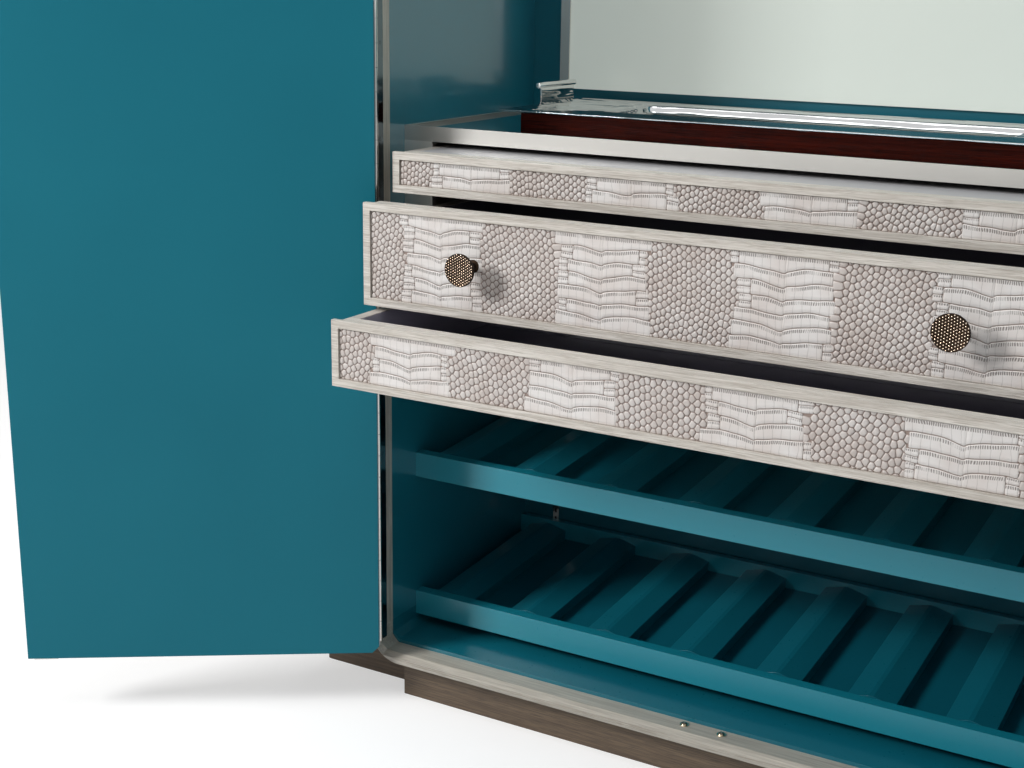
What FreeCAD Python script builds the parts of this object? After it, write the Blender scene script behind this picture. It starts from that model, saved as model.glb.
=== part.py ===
import FreeCAD, Part
import math
import os

os.makedirs("parts", exist_ok=True)

# Driving sizes in millimetres. X runs across, Y goes from the front to the back, Z up from the floor.
# The drawings below put Y = 0 on the front face of the oak frame. The finished part is moved so that
# the origin lies on the floor in the middle of the footprint.

# Opening and oak front frame
opening_width = 840.0
frame_height = 1444.6
frame_depth = 32.7
frame_board = 11.0
frame_rabbet = 6.0
frame_corner_radius = 40.0
opening_facet = 8.0
bevel_depth = 8.0
bevel_drop = 4.3
rail_thickness = 11.2

# Brown oak base and case
plinth_height = 55.4
plinth_setback = 31.0
plinth_width = 804.0
plinth_board = 20.0
plinth_return_board = 18.0
wing_setback = 62.4
case_width = 1090.0
case_depth = 322.6
case_board = 18.0
case_corner_radius = 6.0
case_bottom_board = 5.0
case_top_board = 20.0
case_back_board = 6.0
brace_width = 18.0

# Teal liner
liner_floor_step = 4.4
liner_back_board = 12.0

# Doors
door_thickness = 25.0
door_lining = 7.0
door_setback = 4.0
door_rail_gap = 8.1
door_centre_gap = 2.0
door_edge_chamfer = 3.0
door_corner_facet = 8.0
door_open_angle = 146.0

# Piano hinges
barrel_radius = 2.5
barrel_inset = 1.5
barrel_depth = 3.0
pin_radius = 1.2
pin_clearance = 0.06
leaf_thickness = 1.2
leaf_edge_depth = 18.0
leaf_barrel_gap = 0.4
hinge_end_gap = 4.4
knuckle_pitch = 212.0
knuckle_gap = 0.6
hinge_screw_radius = 2.6
hinge_screw_height = 0.7
hinge_screw_depth = 12.5

# Ball catches and strikes
catch_offset = 22.0
catch_depth = 23.0
catch_ball_radius = 3.6
catch_ball_rise = 3.4
catch_ball_crown_radius = 1.5
catch_ball_shoulder = 1.9
catch_flange_radius = 5.5
catch_flange = 0.7
catch_cup_radius = 4.2
catch_cup_depth = 7.0
strike_length = 28.0
strike_width = 10.0
strike_thickness = 1.5

# Drawer unit
unit_front_y = 62.5
unit_bottom_z = 418.0
unit_bottom_board = 12.0
unit_stile_width = 38.0
unit_stile_depth = 11.0
unit_side_board = 18.0
bearer_height = 7.5
bearer_width = 24.0
bearer_gap = 0.3
bearer_back_gap = 6.0

# Counter
counter_band = 16.9
counter_rim = 4.0
counter_glass_drop = 3.2
counter_glass_thickness = 5.0

# Drawers, from the top one down; the top one is a pull-out shelf
front_overlay = 10.0
front_thickness = 19.0
front_lip = 6.0
front_border_end = 8.8
front_border_long = 8.6
leather_recess = 3.0
leather_thickness = 2.0
box_clearance = 0.6
box_board = 13.0
box_back_gap = 8.0
middle_box_drop = 18.0
shelf_panel = 6.0
box_bottom_board = 6.0
box_bottom_rise = 5.0
box_floor_rise = 9.5
upper_front_height = 45.0
upper_front_gap = 5.8
upper_pulled = 59.9
middle_front_height = 113.5
middle_front_gap = 4.5
middle_pulled = 117.4
lower_front_height = 73.5
lower_front_gap = 5.5
lower_front_foot_gap = 6.0
lower_pulled = 178.2

# Knobs
middle_knob_rise = 0.8
knob_offset = 252.7
knob_radius = 17.5
knob_edge = 3.0
knob_dome = 1.5
knob_crown_radius = 11.0
knob_neck_radius = 4.5
knob_base_radius = 7.0
knob_base_height = 1.5
knob_projection = 30.0
door_knob_inset = 42.0
door_knob_z = 780.0

# Bottle racks
lower_rack_z = 84.5
upper_rack_z = 267.8
rack_front_y = 84.4
rack_front_height = 30.9
rack_front_rail = 20.0
rack_rail_bevel = 5.0
rack_floor = 11.5
rack_back_rail = 9.0
rack_back_rise = 18.0
rack_back_gap = 3.0
bottle_trough = 53.4
ridge_width = 54.0
ridge_shoulder = 13.0
ridge_crest = 19.0
ridge_crest_land = 2.0

# Mirror and shelf standards
mirror_counter_gap = 28.0
mirror_top_gap = 55.7
mirror_width = 728.0
mirror_thickness = 6.0
trim_width = 13.0
trim_proud = 2.0
standard_offset = 369.5
standard_width = 9.0
standard_thickness = 3.0

# Tray and its stand
stand_width = 652.0
stand_front_y = 168.0
stand_back_gap = 21.0
stand_height = 18.5
stand_wall = 18.0
stand_end_wall = 91.0
tray_end_overhang = 11.0
tray_front_overhang = 37.0
tray_back_overhang = 10.0
tray_sheet = 2.0
tray_edge = 3.2
tray_edge_width = 3.0
tray_corner_radius = 6.0
well_clearance = 5.0
well_depth = 11.0
well_corner_radius = 18.0
well_wall = 2.0
handle_length = 86.0
handle_back_offset = 41.0
handle_height = 23.0
handle_plate = 2.5
handle_inset = 4.0
handle_roll_radius = 3.5
handle_roll_overhang = 4.0

# One length runs past every face that is cut through.
overrun = 20.0

# Derived places
half_opening = opening_width / 2
half_frame = half_opening + frame_board
opening_low = plinth_height + rail_thickness
frame_top = plinth_height + frame_height
opening_high = frame_top - rail_thickness
liner_low = plinth_height + case_bottom_board
liner_high = frame_top - case_bottom_board
half_liner = half_opening + frame_rabbet
liner_radius = frame_corner_radius - case_bottom_board
inner_low = opening_low + liner_floor_step
inner_high = opening_high - liner_floor_step
half_case = case_width / 2
case_back_y = wing_setback + case_depth
case_inner_back_y = case_back_y - case_back_board
liner_back_y = case_inner_back_y - liner_back_board
origin_y = (plinth_setback + case_back_y) / 2
pivot_x = half_opening - barrel_inset
pivot_y = barrel_depth
door_low = opening_low + door_rail_gap
door_high = opening_high - door_rail_gap
door_edge_x = pivot_x - leaf_thickness
door_free_x = door_centre_gap / 2
hinge_low = opening_low + opening_facet + hinge_end_gap
hinge_high = opening_high - opening_facet - hinge_end_gap
unit_floor_z = unit_bottom_z + unit_bottom_board
unit_back_y = liner_back_y - mirror_thickness
lower_front_low = unit_floor_z + lower_front_foot_gap
lower_front_high = lower_front_low + lower_front_height
middle_front_low = lower_front_high + lower_front_gap
middle_front_high = middle_front_low + middle_front_height
upper_front_low = middle_front_high + middle_front_gap
upper_front_high = upper_front_low + upper_front_height
counter_low_z = upper_front_high + upper_front_gap
counter_top_z = counter_low_z + counter_band
drawer_front_closed_y = unit_front_y - front_lip
front_back_closed_y = drawer_front_closed_y + front_thickness
mirror_low_z = counter_top_z + mirror_counter_gap
ridge_pitch = bottle_trough + ridge_width
ridge_count = int((opening_width - ridge_width) / ridge_pitch) + 1
glass_top_z = counter_top_z - counter_glass_drop
glass_low_z = glass_top_z - counter_glass_thickness
unit_opening = half_opening - unit_stile_width
half_box = unit_opening - box_clearance
box_depth = unit_back_y - box_back_gap - front_back_closed_y
stand_depth = unit_back_y - stand_back_gap - stand_front_y
half_front = unit_opening + front_overlay


def box(x0, x1, y0, y1, z0, z1):
    """Block between two corners."""
    return Part.makeBox(x1 - x0, y1 - y0, z1 - z0, FreeCAD.Vector(x0, y0, z0))


def mirrored(shape):
    """The same shape on the other side of the centre plane."""
    return shape.mirror(FreeCAD.Vector(0, 0, 0), FreeCAD.Vector(1, 0, 0))


def fused(shapes):
    """One solid from touching shapes, without seams in its flat faces."""
    return shapes[0].fuse(shapes[1:]).removeSplitter()


def group(shapes):
    """Separate solids kept side by side."""
    return Part.makeCompound(shapes)


def outline(points, y):
    """Closed wire through points of the X-Z plane at depth y."""
    corners = [FreeCAD.Vector(x, y, z) for x, z in points]
    return Part.makePolygon(corners + corners[:1])


def prism(points, y0, y1):
    """Outline of the X-Z plane drawn out from y0 to y1."""
    return Part.Face(outline(points, y0)).extrude(FreeCAD.Vector(0, y1 - y0, 0))


def plan_prism(points, z0, z1):
    """Outline of the X-Y plane drawn up from z0 to z1."""
    corners = [FreeCAD.Vector(x, y, z0) for x, y in points]
    face = Part.Face(Part.makePolygon(corners + corners[:1]))
    return face.extrude(FreeCAD.Vector(0, 0, z1 - z0))


def end_prism(points, x0, x1):
    """Outline of the Y-Z plane drawn across from x0 to x1."""
    corners = [FreeCAD.Vector(x0, y, z) for y, z in points]
    face = Part.Face(Part.makePolygon(corners + corners[:1]))
    return face.extrude(FreeCAD.Vector(x1 - x0, 0, 0))


def rounded_block(half_width, z0, z1, radius, y0, y1):
    """Block seen from the front with its four corners rounded."""
    block = box(-half_width, half_width, y0, y1, z0, z1)
    edges = [e for e in block.Edges if abs(e.Vertexes[0].Y - e.Vertexes[-1].Y) > (y1 - y0) / 2]
    return block.makeFillet(radius, edges)


def faceted(half_width, z0, z1, facet):
    """Points of a rectangle with its four corners cut at 45 degrees."""
    return [
        (-half_width + facet, z0), (half_width - facet, z0),
        (half_width, z0 + facet), (half_width, z1 - facet),
        (half_width - facet, z1), (-half_width + facet, z1),
        (-half_width, z1 - facet), (-half_width, z0 + facet),
    ]


def grown_facet(grow):
    """Length of the corner facet after its outline has moved out by grow."""
    return opening_facet + grow * (2 - math.sqrt(2))


def front_hoop():
    """Oak frame as one hoop, with its bevelled opening and the rabbet for the liner."""
    hoop = rounded_block(half_frame, plinth_height, frame_top, frame_corner_radius, 0, wing_setback)
    hole = prism(faceted(half_opening, opening_low, opening_high, opening_facet), -overrun, frame_depth + overrun)
    wide = faceted(half_opening + bevel_drop, opening_low - bevel_drop, opening_high + bevel_drop,
                   grown_facet(bevel_drop))
    narrow = faceted(half_opening, opening_low, opening_high, opening_facet)
    bevel = Part.makeLoft([outline(wide, 0), outline(narrow, bevel_depth)], True, True)
    rabbet = rounded_block(half_liner, liner_low, liner_high, liner_radius, frame_depth, wing_setback + overrun)
    return hoop.cut(hole).cut(bevel).cut(rabbet)


def ring_quarters(ring, low_cut, high_cut):
    """Bottom, top, left and right pieces of a hoop around the opening."""
    below = box(-half_case, half_case, -overrun, liner_back_y + overrun, 0, low_cut)
    above = box(-half_case, half_case, -overrun, liner_back_y + overrun, high_cut, frame_top + overrun)
    left = box(-half_case, 0, -overrun, liner_back_y + overrun, low_cut, high_cut)
    pieces = [ring.common(tool).removeSplitter() for tool in (below, above, left)]
    return pieces + [mirrored(pieces[2])]


def frame_pieces():
    """Rails and stiles of the oak frame, with the catch bores in the bottom rail."""
    low_cut = plinth_height + frame_corner_radius
    high_cut = frame_top - frame_corner_radius
    bottom, top, left, right = ring_quarters(front_hoop(), low_cut, high_cut)
    for x in (-catch_offset, catch_offset):
        bore = Part.makeCylinder(catch_cup_radius, catch_cup_depth + overrun,
                                 FreeCAD.Vector(x, catch_depth, opening_low - catch_cup_depth))
        bottom = bottom.cut(bore)
    return {"frame_rail_bottom": bottom, "frame_rail_top": top,
            "frame_stile_left": left, "frame_stile_right": right}


def liner_pieces():
    """Floor, top, walls and back of the teal liner."""
    outer = rounded_block(half_liner, liner_low, liner_high, liner_radius, frame_depth, liner_back_y)
    inner = prism(faceted(half_opening, inner_low, inner_high, opening_facet),
                  frame_depth - overrun, liner_back_y + overrun)
    hoop = outer.cut(inner)
    low_cut = liner_low + liner_radius
    high_cut = liner_high - liner_radius
    bottom, top, left, right = ring_quarters(hoop, low_cut, high_cut)
    back = box(-half_liner, half_liner, liner_back_y, liner_back_y + liner_back_board, liner_low, liner_high)
    return {"liner_floor": bottom, "liner_top": top, "liner_left": left, "liner_right": right,
            "liner_back": back}


def base_pieces():
    """Front plinth and the base ring behind it."""
    half_plinth = plinth_width / 2
    front = box(-half_plinth, half_plinth, plinth_setback, wing_setback, 0, plinth_height)
    pocket = box(-half_plinth + plinth_return_board, half_plinth - plinth_return_board,
                 plinth_setback + plinth_board, wing_setback + overrun, -overrun, plinth_height + overrun)
    ring = box(-half_case, half_case, wing_setback, case_back_y, 0, plinth_height)
    upright = [e for e in ring.Edges if abs(e.Vertexes[0].Z - e.Vertexes[-1].Z) > plinth_height / 2
               and e.Vertexes[0].Y < case_back_y / 2]
    ring = ring.makeFillet(case_corner_radius, upright)
    for side in (-1, 1):
        inner = sorted((side * brace_width / 2, side * (half_case - case_board)))
        ring = ring.cut(box(inner[0], inner[1], wing_setback + case_board, case_back_y - case_board,
                            -overrun, plinth_height + overrun))
    return {"plinth_front": front.cut(pocket), "plinth_base": ring}


def wing():
    """Left side column: a front board and an outer board with a rounded corner between them."""
    column = box(-half_case, -half_liner, wing_setback, case_back_y, plinth_height, liner_high)
    corner = [e for e in column.Edges if abs(e.Vertexes[0].Z - e.Vertexes[-1].Z) > frame_height / 2
              and e.Vertexes[0].X < -half_case + case_board and e.Vertexes[0].Y < case_back_y / 2]
    column = column.makeFillet(case_corner_radius, corner)
    hollow = box(-half_case + case_board, -half_liner + overrun, wing_setback + case_board,
                 case_back_y + overrun, plinth_height - overrun, liner_high + overrun)
    return column.cut(hollow)


def case_pieces():
    """Side columns and the boards that close the case."""
    inner = half_case - case_board
    column = wing()
    bottom = fused([
        box(-half_liner, half_liner, wing_setback, case_inner_back_y, plinth_height, liner_low),
        box(-inner, inner, wing_setback + case_board, case_inner_back_y, plinth_height, liner_low),
    ])
    top = box(-half_case, half_case, wing_setback, case_back_y, liner_high, liner_high + case_top_board)
    upright = [e for e in top.Edges if abs(e.Vertexes[0].Z - e.Vertexes[-1].Z) > case_top_board / 2
               and e.Vertexes[0].Y < case_back_y / 2]
    top = top.makeFillet(case_corner_radius, upright)
    back = box(-inner, inner, case_inner_back_y, case_back_y, plinth_height, liner_high)
    return {"wing_left": column, "wing_right": mirrored(column), "case_bottom": bottom,
            "case_top": top, "case_back": back}


def rack(z0, prefix):
    """Bottle rack: a tray with a bevelled front rail, and the gable ridges between the bottles."""
    back_y = liner_back_y - rack_back_gap
    front_top = z0 + rack_front_height
    rail_back = rack_front_y + rack_front_rail
    profile = [
        (rack_front_y, z0), (back_y, z0), (back_y, front_top + rack_back_rise),
        (back_y - rack_back_rail, front_top + rack_back_rise), (back_y - rack_back_rail, z0 + rack_floor),
        (rail_back, z0 + rack_floor), (rail_back, front_top - rack_rail_bevel),
        (rail_back - rack_rail_bevel, front_top), (rack_front_y, front_top),
    ]
    tray = end_prism(profile, -half_opening, half_opening)
    gable = [
        (-ridge_width / 2, z0 + rack_floor), (ridge_width / 2, z0 + rack_floor),
        (ridge_width / 2, z0 + rack_floor + ridge_shoulder),
        (ridge_crest_land / 2, z0 + rack_floor + ridge_crest),
        (-ridge_crest_land / 2, z0 + rack_floor + ridge_crest),
        (-ridge_width / 2, z0 + rack_floor + ridge_shoulder),
    ]
    ridge = prism(gable, rail_back, back_y - rack_back_rail)
    first = -ridge_pitch * (ridge_count - 1) / 2
    ridges = [ridge.translated(FreeCAD.Vector(first + i * ridge_pitch, 0, 0)) for i in range(ridge_count)]
    return {prefix + "_tray": tray, prefix + "_ridges": group(ridges)}


def back_pieces():
    """Mirror with its edge trims, and the shelf standards low down on the back."""
    half_mirror = mirror_width / 2
    mirror_top = inner_high - mirror_top_gap
    glass = box(-half_mirror, half_mirror, liner_back_y - mirror_thickness, liner_back_y,
                mirror_low_z, mirror_top)
    trim = box(-half_mirror - trim_width, -half_mirror, liner_back_y - mirror_thickness - trim_proud,
               liner_back_y, mirror_low_z, mirror_top)
    strip = box(-standard_offset - standard_width / 2, -standard_offset + standard_width / 2,
                liner_back_y - standard_thickness, liner_back_y, inner_low, unit_bottom_z)
    return {"mirror": glass, "mirror_trims": group([trim, mirrored(trim)]),
            "shelf_standards": group([strip, mirrored(strip)])}


def unit_pieces():
    """Fixed parts of the drawer unit and its counter."""
    stile = box(-half_opening, -unit_opening, unit_front_y, unit_front_y + unit_stile_depth,
                unit_floor_z, counter_low_z)
    side = box(-half_opening, -half_opening + unit_side_board, unit_front_y + unit_stile_depth,
               unit_back_y, unit_floor_z, counter_low_z)
    bottom = box(-half_opening, half_opening, unit_front_y, unit_back_y, unit_bottom_z, unit_floor_z)
    slab = box(-half_opening, half_opening, unit_front_y, unit_back_y, counter_low_z, counter_top_z)
    pocket = box(-half_opening + counter_rim, half_opening - counter_rim, unit_front_y + counter_rim,
                 unit_back_y - counter_rim, glass_low_z, counter_top_z + overrun)
    glass = box(-half_opening + counter_rim, half_opening - counter_rim, unit_front_y + counter_rim,
                unit_back_y - counter_rim, glass_low_z, glass_top_z)
    return {"unit_stiles": group([stile, mirrored(stile)]), "unit_sides": group([side, mirrored(side)]),
            "unit_bottom": bottom, "counter": slab.cut(pocket), "counter_glass": glass}


def drawer_bearers():
    """Rails on the unit's sides that the drawer boxes run on."""
    rails = []
    for low in (upper_front_low, middle_front_low, lower_front_low):
        top = low + box_bottom_rise - bearer_gap
        rail = box(-half_opening + unit_side_board, -half_opening + unit_side_board + bearer_width
                   + box_board, front_back_closed_y + bearer_gap, unit_back_y - bearer_back_gap,
                   top - bearer_height, top)
        rails = rails + [rail, mirrored(rail)]
    return {"drawer_bearers": group(rails)}


def drawer_front(prefix, low, high, pulled):
    """Oak front, lipped at both ends to close into the unit, with its leather panel, pulled out by pulled."""
    y0 = drawer_front_closed_y - pulled
    half = half_front
    leather_y = y0 + leather_recess
    lipped = box(-half, half, y0, y0 + front_lip, low, high)
    body = box(-half_box, half_box, y0, y0 + front_thickness, low, high)
    board = fused([lipped, body])
    recess = box(-half + front_border_end, half - front_border_end, y0 - overrun,
                 leather_y + leather_thickness, low + front_border_long, high - front_border_long)
    leather = box(-half + front_border_end, half - front_border_end, leather_y,
                  leather_y + leather_thickness, low + front_border_long, high - front_border_long)
    return {prefix + "_front": board.cut(recess), prefix + "_leather": leather}


def drawer_walls(low, high, pulled):
    """Sides and back behind a drawer front, between the heights low and high."""
    y1 = front_back_closed_y - pulled
    y2 = y1 + box_depth
    side = box(-half_box, -half_box + box_board, y1, y2, low, high)
    back = box(-half_box + box_board, half_box - box_board, y2 - box_board, y2, low, high)
    return group([side, mirrored(side), back])


def drawer_board(low, thickness, pulled):
    """Board between a drawer's walls with its lower face at low."""
    y1 = front_back_closed_y - pulled
    return box(-half_box + box_board, half_box - box_board, y1, y1 + box_depth - box_board, low, low + thickness)


def drawers():
    """The pull-out shelf and the two drawers, each at its place in the photograph."""
    pieces = {
        "drawer_upper_box": drawer_walls(upper_front_low + box_bottom_rise, upper_front_high, upper_pulled),
        "drawer_upper_bottom": drawer_board(upper_front_high - shelf_panel, shelf_panel, upper_pulled),
        "drawer_middle_box": drawer_walls(middle_front_low + box_bottom_rise,
                                          middle_front_high - middle_box_drop, middle_pulled),
        "drawer_middle_bottom": drawer_board(middle_front_low + box_floor_rise, box_bottom_board, middle_pulled),
        "drawer_lower_box": drawer_walls(lower_front_low + box_bottom_rise, lower_front_high, lower_pulled),
        "drawer_lower_bottom": drawer_board(lower_front_low + box_floor_rise, box_bottom_board, lower_pulled),
    }
    pieces.update(drawer_front("drawer_upper", upper_front_low, upper_front_high, upper_pulled))
    pieces.update(drawer_front("drawer_middle", middle_front_low, middle_front_high, middle_pulled))
    pieces.update(drawer_front("drawer_lower", lower_front_low, lower_front_high, lower_pulled))
    return pieces


def knob(x, y, z):
    """Round knob seated on a face at depth y, standing out towards the front."""
    rim = knob_projection - knob_dome
    profile = [
        (0, 0), (knob_base_radius, 0), (knob_base_radius, knob_base_height), (knob_neck_radius, rim - knob_edge),
        (knob_radius, rim - knob_edge), (knob_radius, rim),
        (knob_crown_radius, knob_projection), (0, knob_projection),
    ]
    points = [FreeCAD.Vector(x + r, y - d, z) for r, d in profile]
    face = Part.Face(Part.makePolygon(points + points[:1]))
    return face.revolve(FreeCAD.Vector(x, y, z), FreeCAD.Vector(0, 1, 0), 360)


def drawer_knobs():
    """Two knobs on the middle drawer, seated on its leather panel."""
    y = drawer_front_closed_y - middle_pulled + leather_recess
    z = (middle_front_low + middle_front_high) / 2 + middle_knob_rise
    left = knob(-knob_offset, y, z)
    return {"drawer_knobs": group([left, mirrored(left)])}


def opened(shape):
    """Turns a left door's piece from the closed door to the door's place in the photograph."""
    return shape.rotated(FreeCAD.Vector(-pivot_x, pivot_y, 0), FreeCAD.Vector(0, 0, 1), -door_open_angle)


def door():
    """Pieces of the left door, turned open: oak panel, teal lining, knob and strike."""
    y0 = door_setback
    y1 = door_setback + door_thickness
    split = y1 - door_lining
    facet = door_corner_facet
    face = [
        (-door_edge_x, door_low + facet), (-door_edge_x + facet, door_low), (-door_free_x, door_low),
        (-door_free_x, door_high), (-door_edge_x + facet, door_high), (-door_edge_x, door_high - facet),
    ]
    panel = prism(face, y0, split)
    lining = prism(face, split, y1)
    edge = plan_prism([(-door_edge_x, y0), (-door_edge_x + door_edge_chamfer, y0),
                       (-door_edge_x, y0 + door_edge_chamfer)], door_low - overrun, door_high + overrun)
    pull = knob(-door_free_x - door_knob_inset, y0, door_knob_z)
    strike = box(-catch_offset - strike_length / 2, -catch_offset + strike_length / 2,
                 catch_depth - strike_width / 2, catch_depth + strike_width / 2,
                 door_low - strike_thickness, door_low)
    pieces = {"panel": panel.cut(edge), "lining": lining, "knob": pull, "strike": strike}
    return {name: opened(shape) for name, shape in pieces.items()}


def knuckle_spans():
    """Lower and upper ends of the hinge knuckles, from the bottom up."""
    count = int((hinge_high - hinge_low) / knuckle_pitch)
    length = (hinge_high - hinge_low) / count
    return [(hinge_low + i * length, hinge_low + (i + 1) * length - knuckle_gap) for i in range(count)]


def barrel(z0, z1, plate):
    """One knuckle around the pin, joined to the piece of leaf beside it."""
    centre = FreeCAD.Vector(-pivot_x, pivot_y, z0)
    tube = Part.makeCylinder(barrel_radius, z1 - z0, centre)
    bore = Part.makeCylinder(pin_radius + pin_clearance, z1 - z0, centre)
    return tube.fuse(plate).cut(bore)


def hinge_leaf(x0, x1, first):
    """One leaf of the left piano hinge with every second knuckle, starting at number first."""
    near = pivot_y + barrel_radius + leaf_barrel_gap
    leaf = box(x0, x1, near, leaf_edge_depth, hinge_low, hinge_high - knuckle_gap)
    knuckles = [barrel(z0, z1, box(x0, x1, pivot_y, near, z0, z1)) for z0, z1 in knuckle_spans()[first::2]]
    return fused([leaf] + knuckles)


def hinges():
    """Both piano hinges: frame leaves, door leaves, pins and the screws in the frame leaves."""
    frame_leaf = hinge_leaf(-half_opening, -half_opening + leaf_thickness, 0)
    door_leaf = opened(hinge_leaf(-door_edge_x - leaf_thickness, -door_edge_x, 1))
    pin = Part.makeCylinder(pin_radius, hinge_high - hinge_low, FreeCAD.Vector(-pivot_x, pivot_y, hinge_low))
    face_x = -half_opening + leaf_thickness
    screws = []
    for z0, z1 in knuckle_spans():
        seat = FreeCAD.Vector(face_x, hinge_screw_depth, (z0 + z1) / 2)
        screws.append(Part.makeCylinder(hinge_screw_radius, hinge_screw_height, seat, FreeCAD.Vector(1, 0, 0)))
    return {"hinge_frame_leaf_left": frame_leaf, "hinge_frame_leaf_right": mirrored(frame_leaf),
            "door_left_leaf": door_leaf, "door_right_leaf": mirrored(door_leaf),
            "hinge_pins": group([pin, mirrored(pin)]),
            "hinge_screws": group(screws + [mirrored(s) for s in screws])}


def catches():
    """Ball catches set into the bottom rail."""
    pieces = []
    for x in (-catch_offset, catch_offset):
        profile = [
            (0, -catch_cup_depth), (catch_cup_radius, -catch_cup_depth), (catch_cup_radius, 0),
            (catch_flange_radius, 0), (catch_flange_radius, catch_flange), (catch_ball_radius, catch_flange),
            (catch_ball_radius, catch_ball_shoulder), (catch_ball_crown_radius, catch_ball_rise),
            (0, catch_ball_rise),
        ]
        points = [FreeCAD.Vector(x + r, catch_depth, opening_low + d) for r, d in profile]
        face = Part.Face(Part.makePolygon(points + points[:1]))
        pieces.append(face.revolve(FreeCAD.Vector(x, catch_depth, 0), FreeCAD.Vector(0, 0, 1), 360))
    return {"ball_catches": group(pieces)}


def tray_stand():
    """Dark wooden frame that stands on the counter glass and carries the tray."""
    half = stand_width / 2
    y1 = stand_front_y + stand_depth
    block = box(-half, half, stand_front_y, y1, glass_top_z, glass_top_z + stand_height)
    hole = box(-half + stand_end_wall, half - stand_end_wall, stand_front_y + stand_wall, y1 - stand_wall,
               glass_top_z - overrun, glass_top_z + stand_height + overrun)
    return block.cut(hole)


def upright_fillet(block, height, radius):
    """Rounds the four upright edges of a block."""
    edges = [e for e in block.Edges if abs(e.Vertexes[0].Z - e.Vertexes[-1].Z) > height / 2]
    return block.makeFillet(radius, edges)


def tray():
    """Polished tray: flat rim with a lip, a sunk well and a handle at each end."""
    half = stand_width / 2 + tray_end_overhang
    y0 = stand_front_y - tray_front_overhang
    y1 = stand_front_y + stand_depth + tray_back_overhang
    low = glass_top_z + stand_height
    sheet = upright_fillet(box(-half, half, y0, y1, low, low + tray_edge), tray_edge, tray_corner_radius)
    lip = box(-half + tray_edge_width, half - tray_edge_width, y0 + tray_edge_width, y1 - tray_edge_width,
              low + tray_sheet, low + tray_edge + overrun)
    well_half = stand_width / 2 - stand_end_wall - well_clearance
    well_y0 = stand_front_y + stand_wall + well_clearance
    well_y1 = stand_front_y + stand_depth - stand_wall - well_clearance
    pan = upright_fillet(box(-well_half, well_half, well_y0, well_y1, low - well_depth, low),
                         well_depth, well_corner_radius)
    hollow = upright_fillet(box(-well_half + well_wall, well_half - well_wall, well_y0 + well_wall,
                                well_y1 - well_wall, low - well_depth + well_wall, low + tray_edge + overrun),
                            well_depth, well_corner_radius - well_wall)
    plate_x = -half + handle_inset
    handle_y = y1 - handle_back_offset - handle_length
    top = low + tray_sheet + handle_height
    plate = box(plate_x, plate_x + handle_plate, handle_y, handle_y + handle_length, low, top)
    roll = Part.makeCylinder(handle_roll_radius, handle_length + handle_roll_overhang + handle_roll_overhang,
                             FreeCAD.Vector(plate_x + handle_plate / 2, handle_y - handle_roll_overhang,
                                            top), FreeCAD.Vector(0, 1, 0))
    handle = plate.fuse(roll)
    body = sheet.cut(lip).fuse(pan).cut(hollow)
    return fused([body, handle, mirrored(handle)])


def build():
    """All named pieces of the cabinet."""
    pieces = {}
    pieces.update(base_pieces())
    pieces.update(case_pieces())
    pieces.update(frame_pieces())
    pieces.update(liner_pieces())
    pieces.update(rack(lower_rack_z, "rack_lower"))
    pieces.update(rack(upper_rack_z, "rack_upper"))
    pieces.update(back_pieces())
    pieces.update(unit_pieces())
    pieces.update(drawer_bearers())
    pieces.update(drawers())
    pieces.update(drawer_knobs())
    for name, shape in door().items():
        pieces["door_left_" + name] = shape
        pieces["door_right_" + name] = mirrored(shape)
    pieces.update(hinges())
    pieces.update(catches())
    pieces["tray_stand"] = tray_stand()
    pieces["tray"] = tray()
    return pieces


for node, shape in build().items():
    shape.translated(FreeCAD.Vector(0, -origin_y, 0)).exportStep("parts/" + node + ".step")
    print(node, len(shape.Solids), round(shape.Volume), shape.isValid())
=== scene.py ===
import logging
import math
import random
from dataclasses import dataclass, field
from enum import Enum

import bmesh
import bpy
from mathutils import Matrix, Vector


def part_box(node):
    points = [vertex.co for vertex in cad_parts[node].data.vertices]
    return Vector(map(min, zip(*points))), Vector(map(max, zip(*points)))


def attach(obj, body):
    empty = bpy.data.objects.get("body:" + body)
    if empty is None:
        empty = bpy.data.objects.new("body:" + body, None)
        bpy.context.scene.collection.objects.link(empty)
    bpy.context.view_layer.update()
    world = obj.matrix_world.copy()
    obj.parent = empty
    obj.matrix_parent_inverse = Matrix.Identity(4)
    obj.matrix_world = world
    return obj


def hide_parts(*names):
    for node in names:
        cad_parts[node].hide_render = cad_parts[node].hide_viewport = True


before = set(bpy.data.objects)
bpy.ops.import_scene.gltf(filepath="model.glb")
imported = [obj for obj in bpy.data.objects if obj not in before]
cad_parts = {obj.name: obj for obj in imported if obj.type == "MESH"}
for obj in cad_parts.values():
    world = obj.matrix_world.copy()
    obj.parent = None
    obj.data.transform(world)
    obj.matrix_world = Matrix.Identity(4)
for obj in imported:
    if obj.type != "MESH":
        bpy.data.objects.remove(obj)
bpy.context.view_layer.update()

LOG = logging.getLogger("bar_cabinet")
MM = 0.001
Display = tuple[int, int, int]
Colour = tuple[float, float, float]
Triple = tuple[float, float, float]
Spot = tuple[float, float]
Pair = tuple[float, float]
Faces = list[list[int]]
Socket = bpy.types.NodeSocket
Material = bpy.types.Material
Mesh = bpy.types.Mesh
WHITE: Colour = (1.0, 1.0, 1.0)
ZERO: Triple = (0.0, 0.0, 0.0)


def linear(colour: Display) -> Colour:
    """Linear values of an 8-bit display colour."""
    return tuple(((c / 255 + 0.055) / 1.055) ** 2.4 if c > 10 else c / 255 / 12.92 for c in colour)


def toned(colour: Colour, factor: float) -> Colour:
    """A linear colour made darker or lighter, at most white."""
    return tuple(min(1.0, factor * c) for c in colour)


class Axis(Enum):
    """The row axis that a wood's grain or a metal's brushing follows."""

    X = 0
    Y = 1
    Z = 2

    def stretched(self, along: float, across: float) -> Triple:
        """Texture scales with along on this axis and across on the other two."""
        return tuple(along if i == self.value else across for i in range(3))


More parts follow.
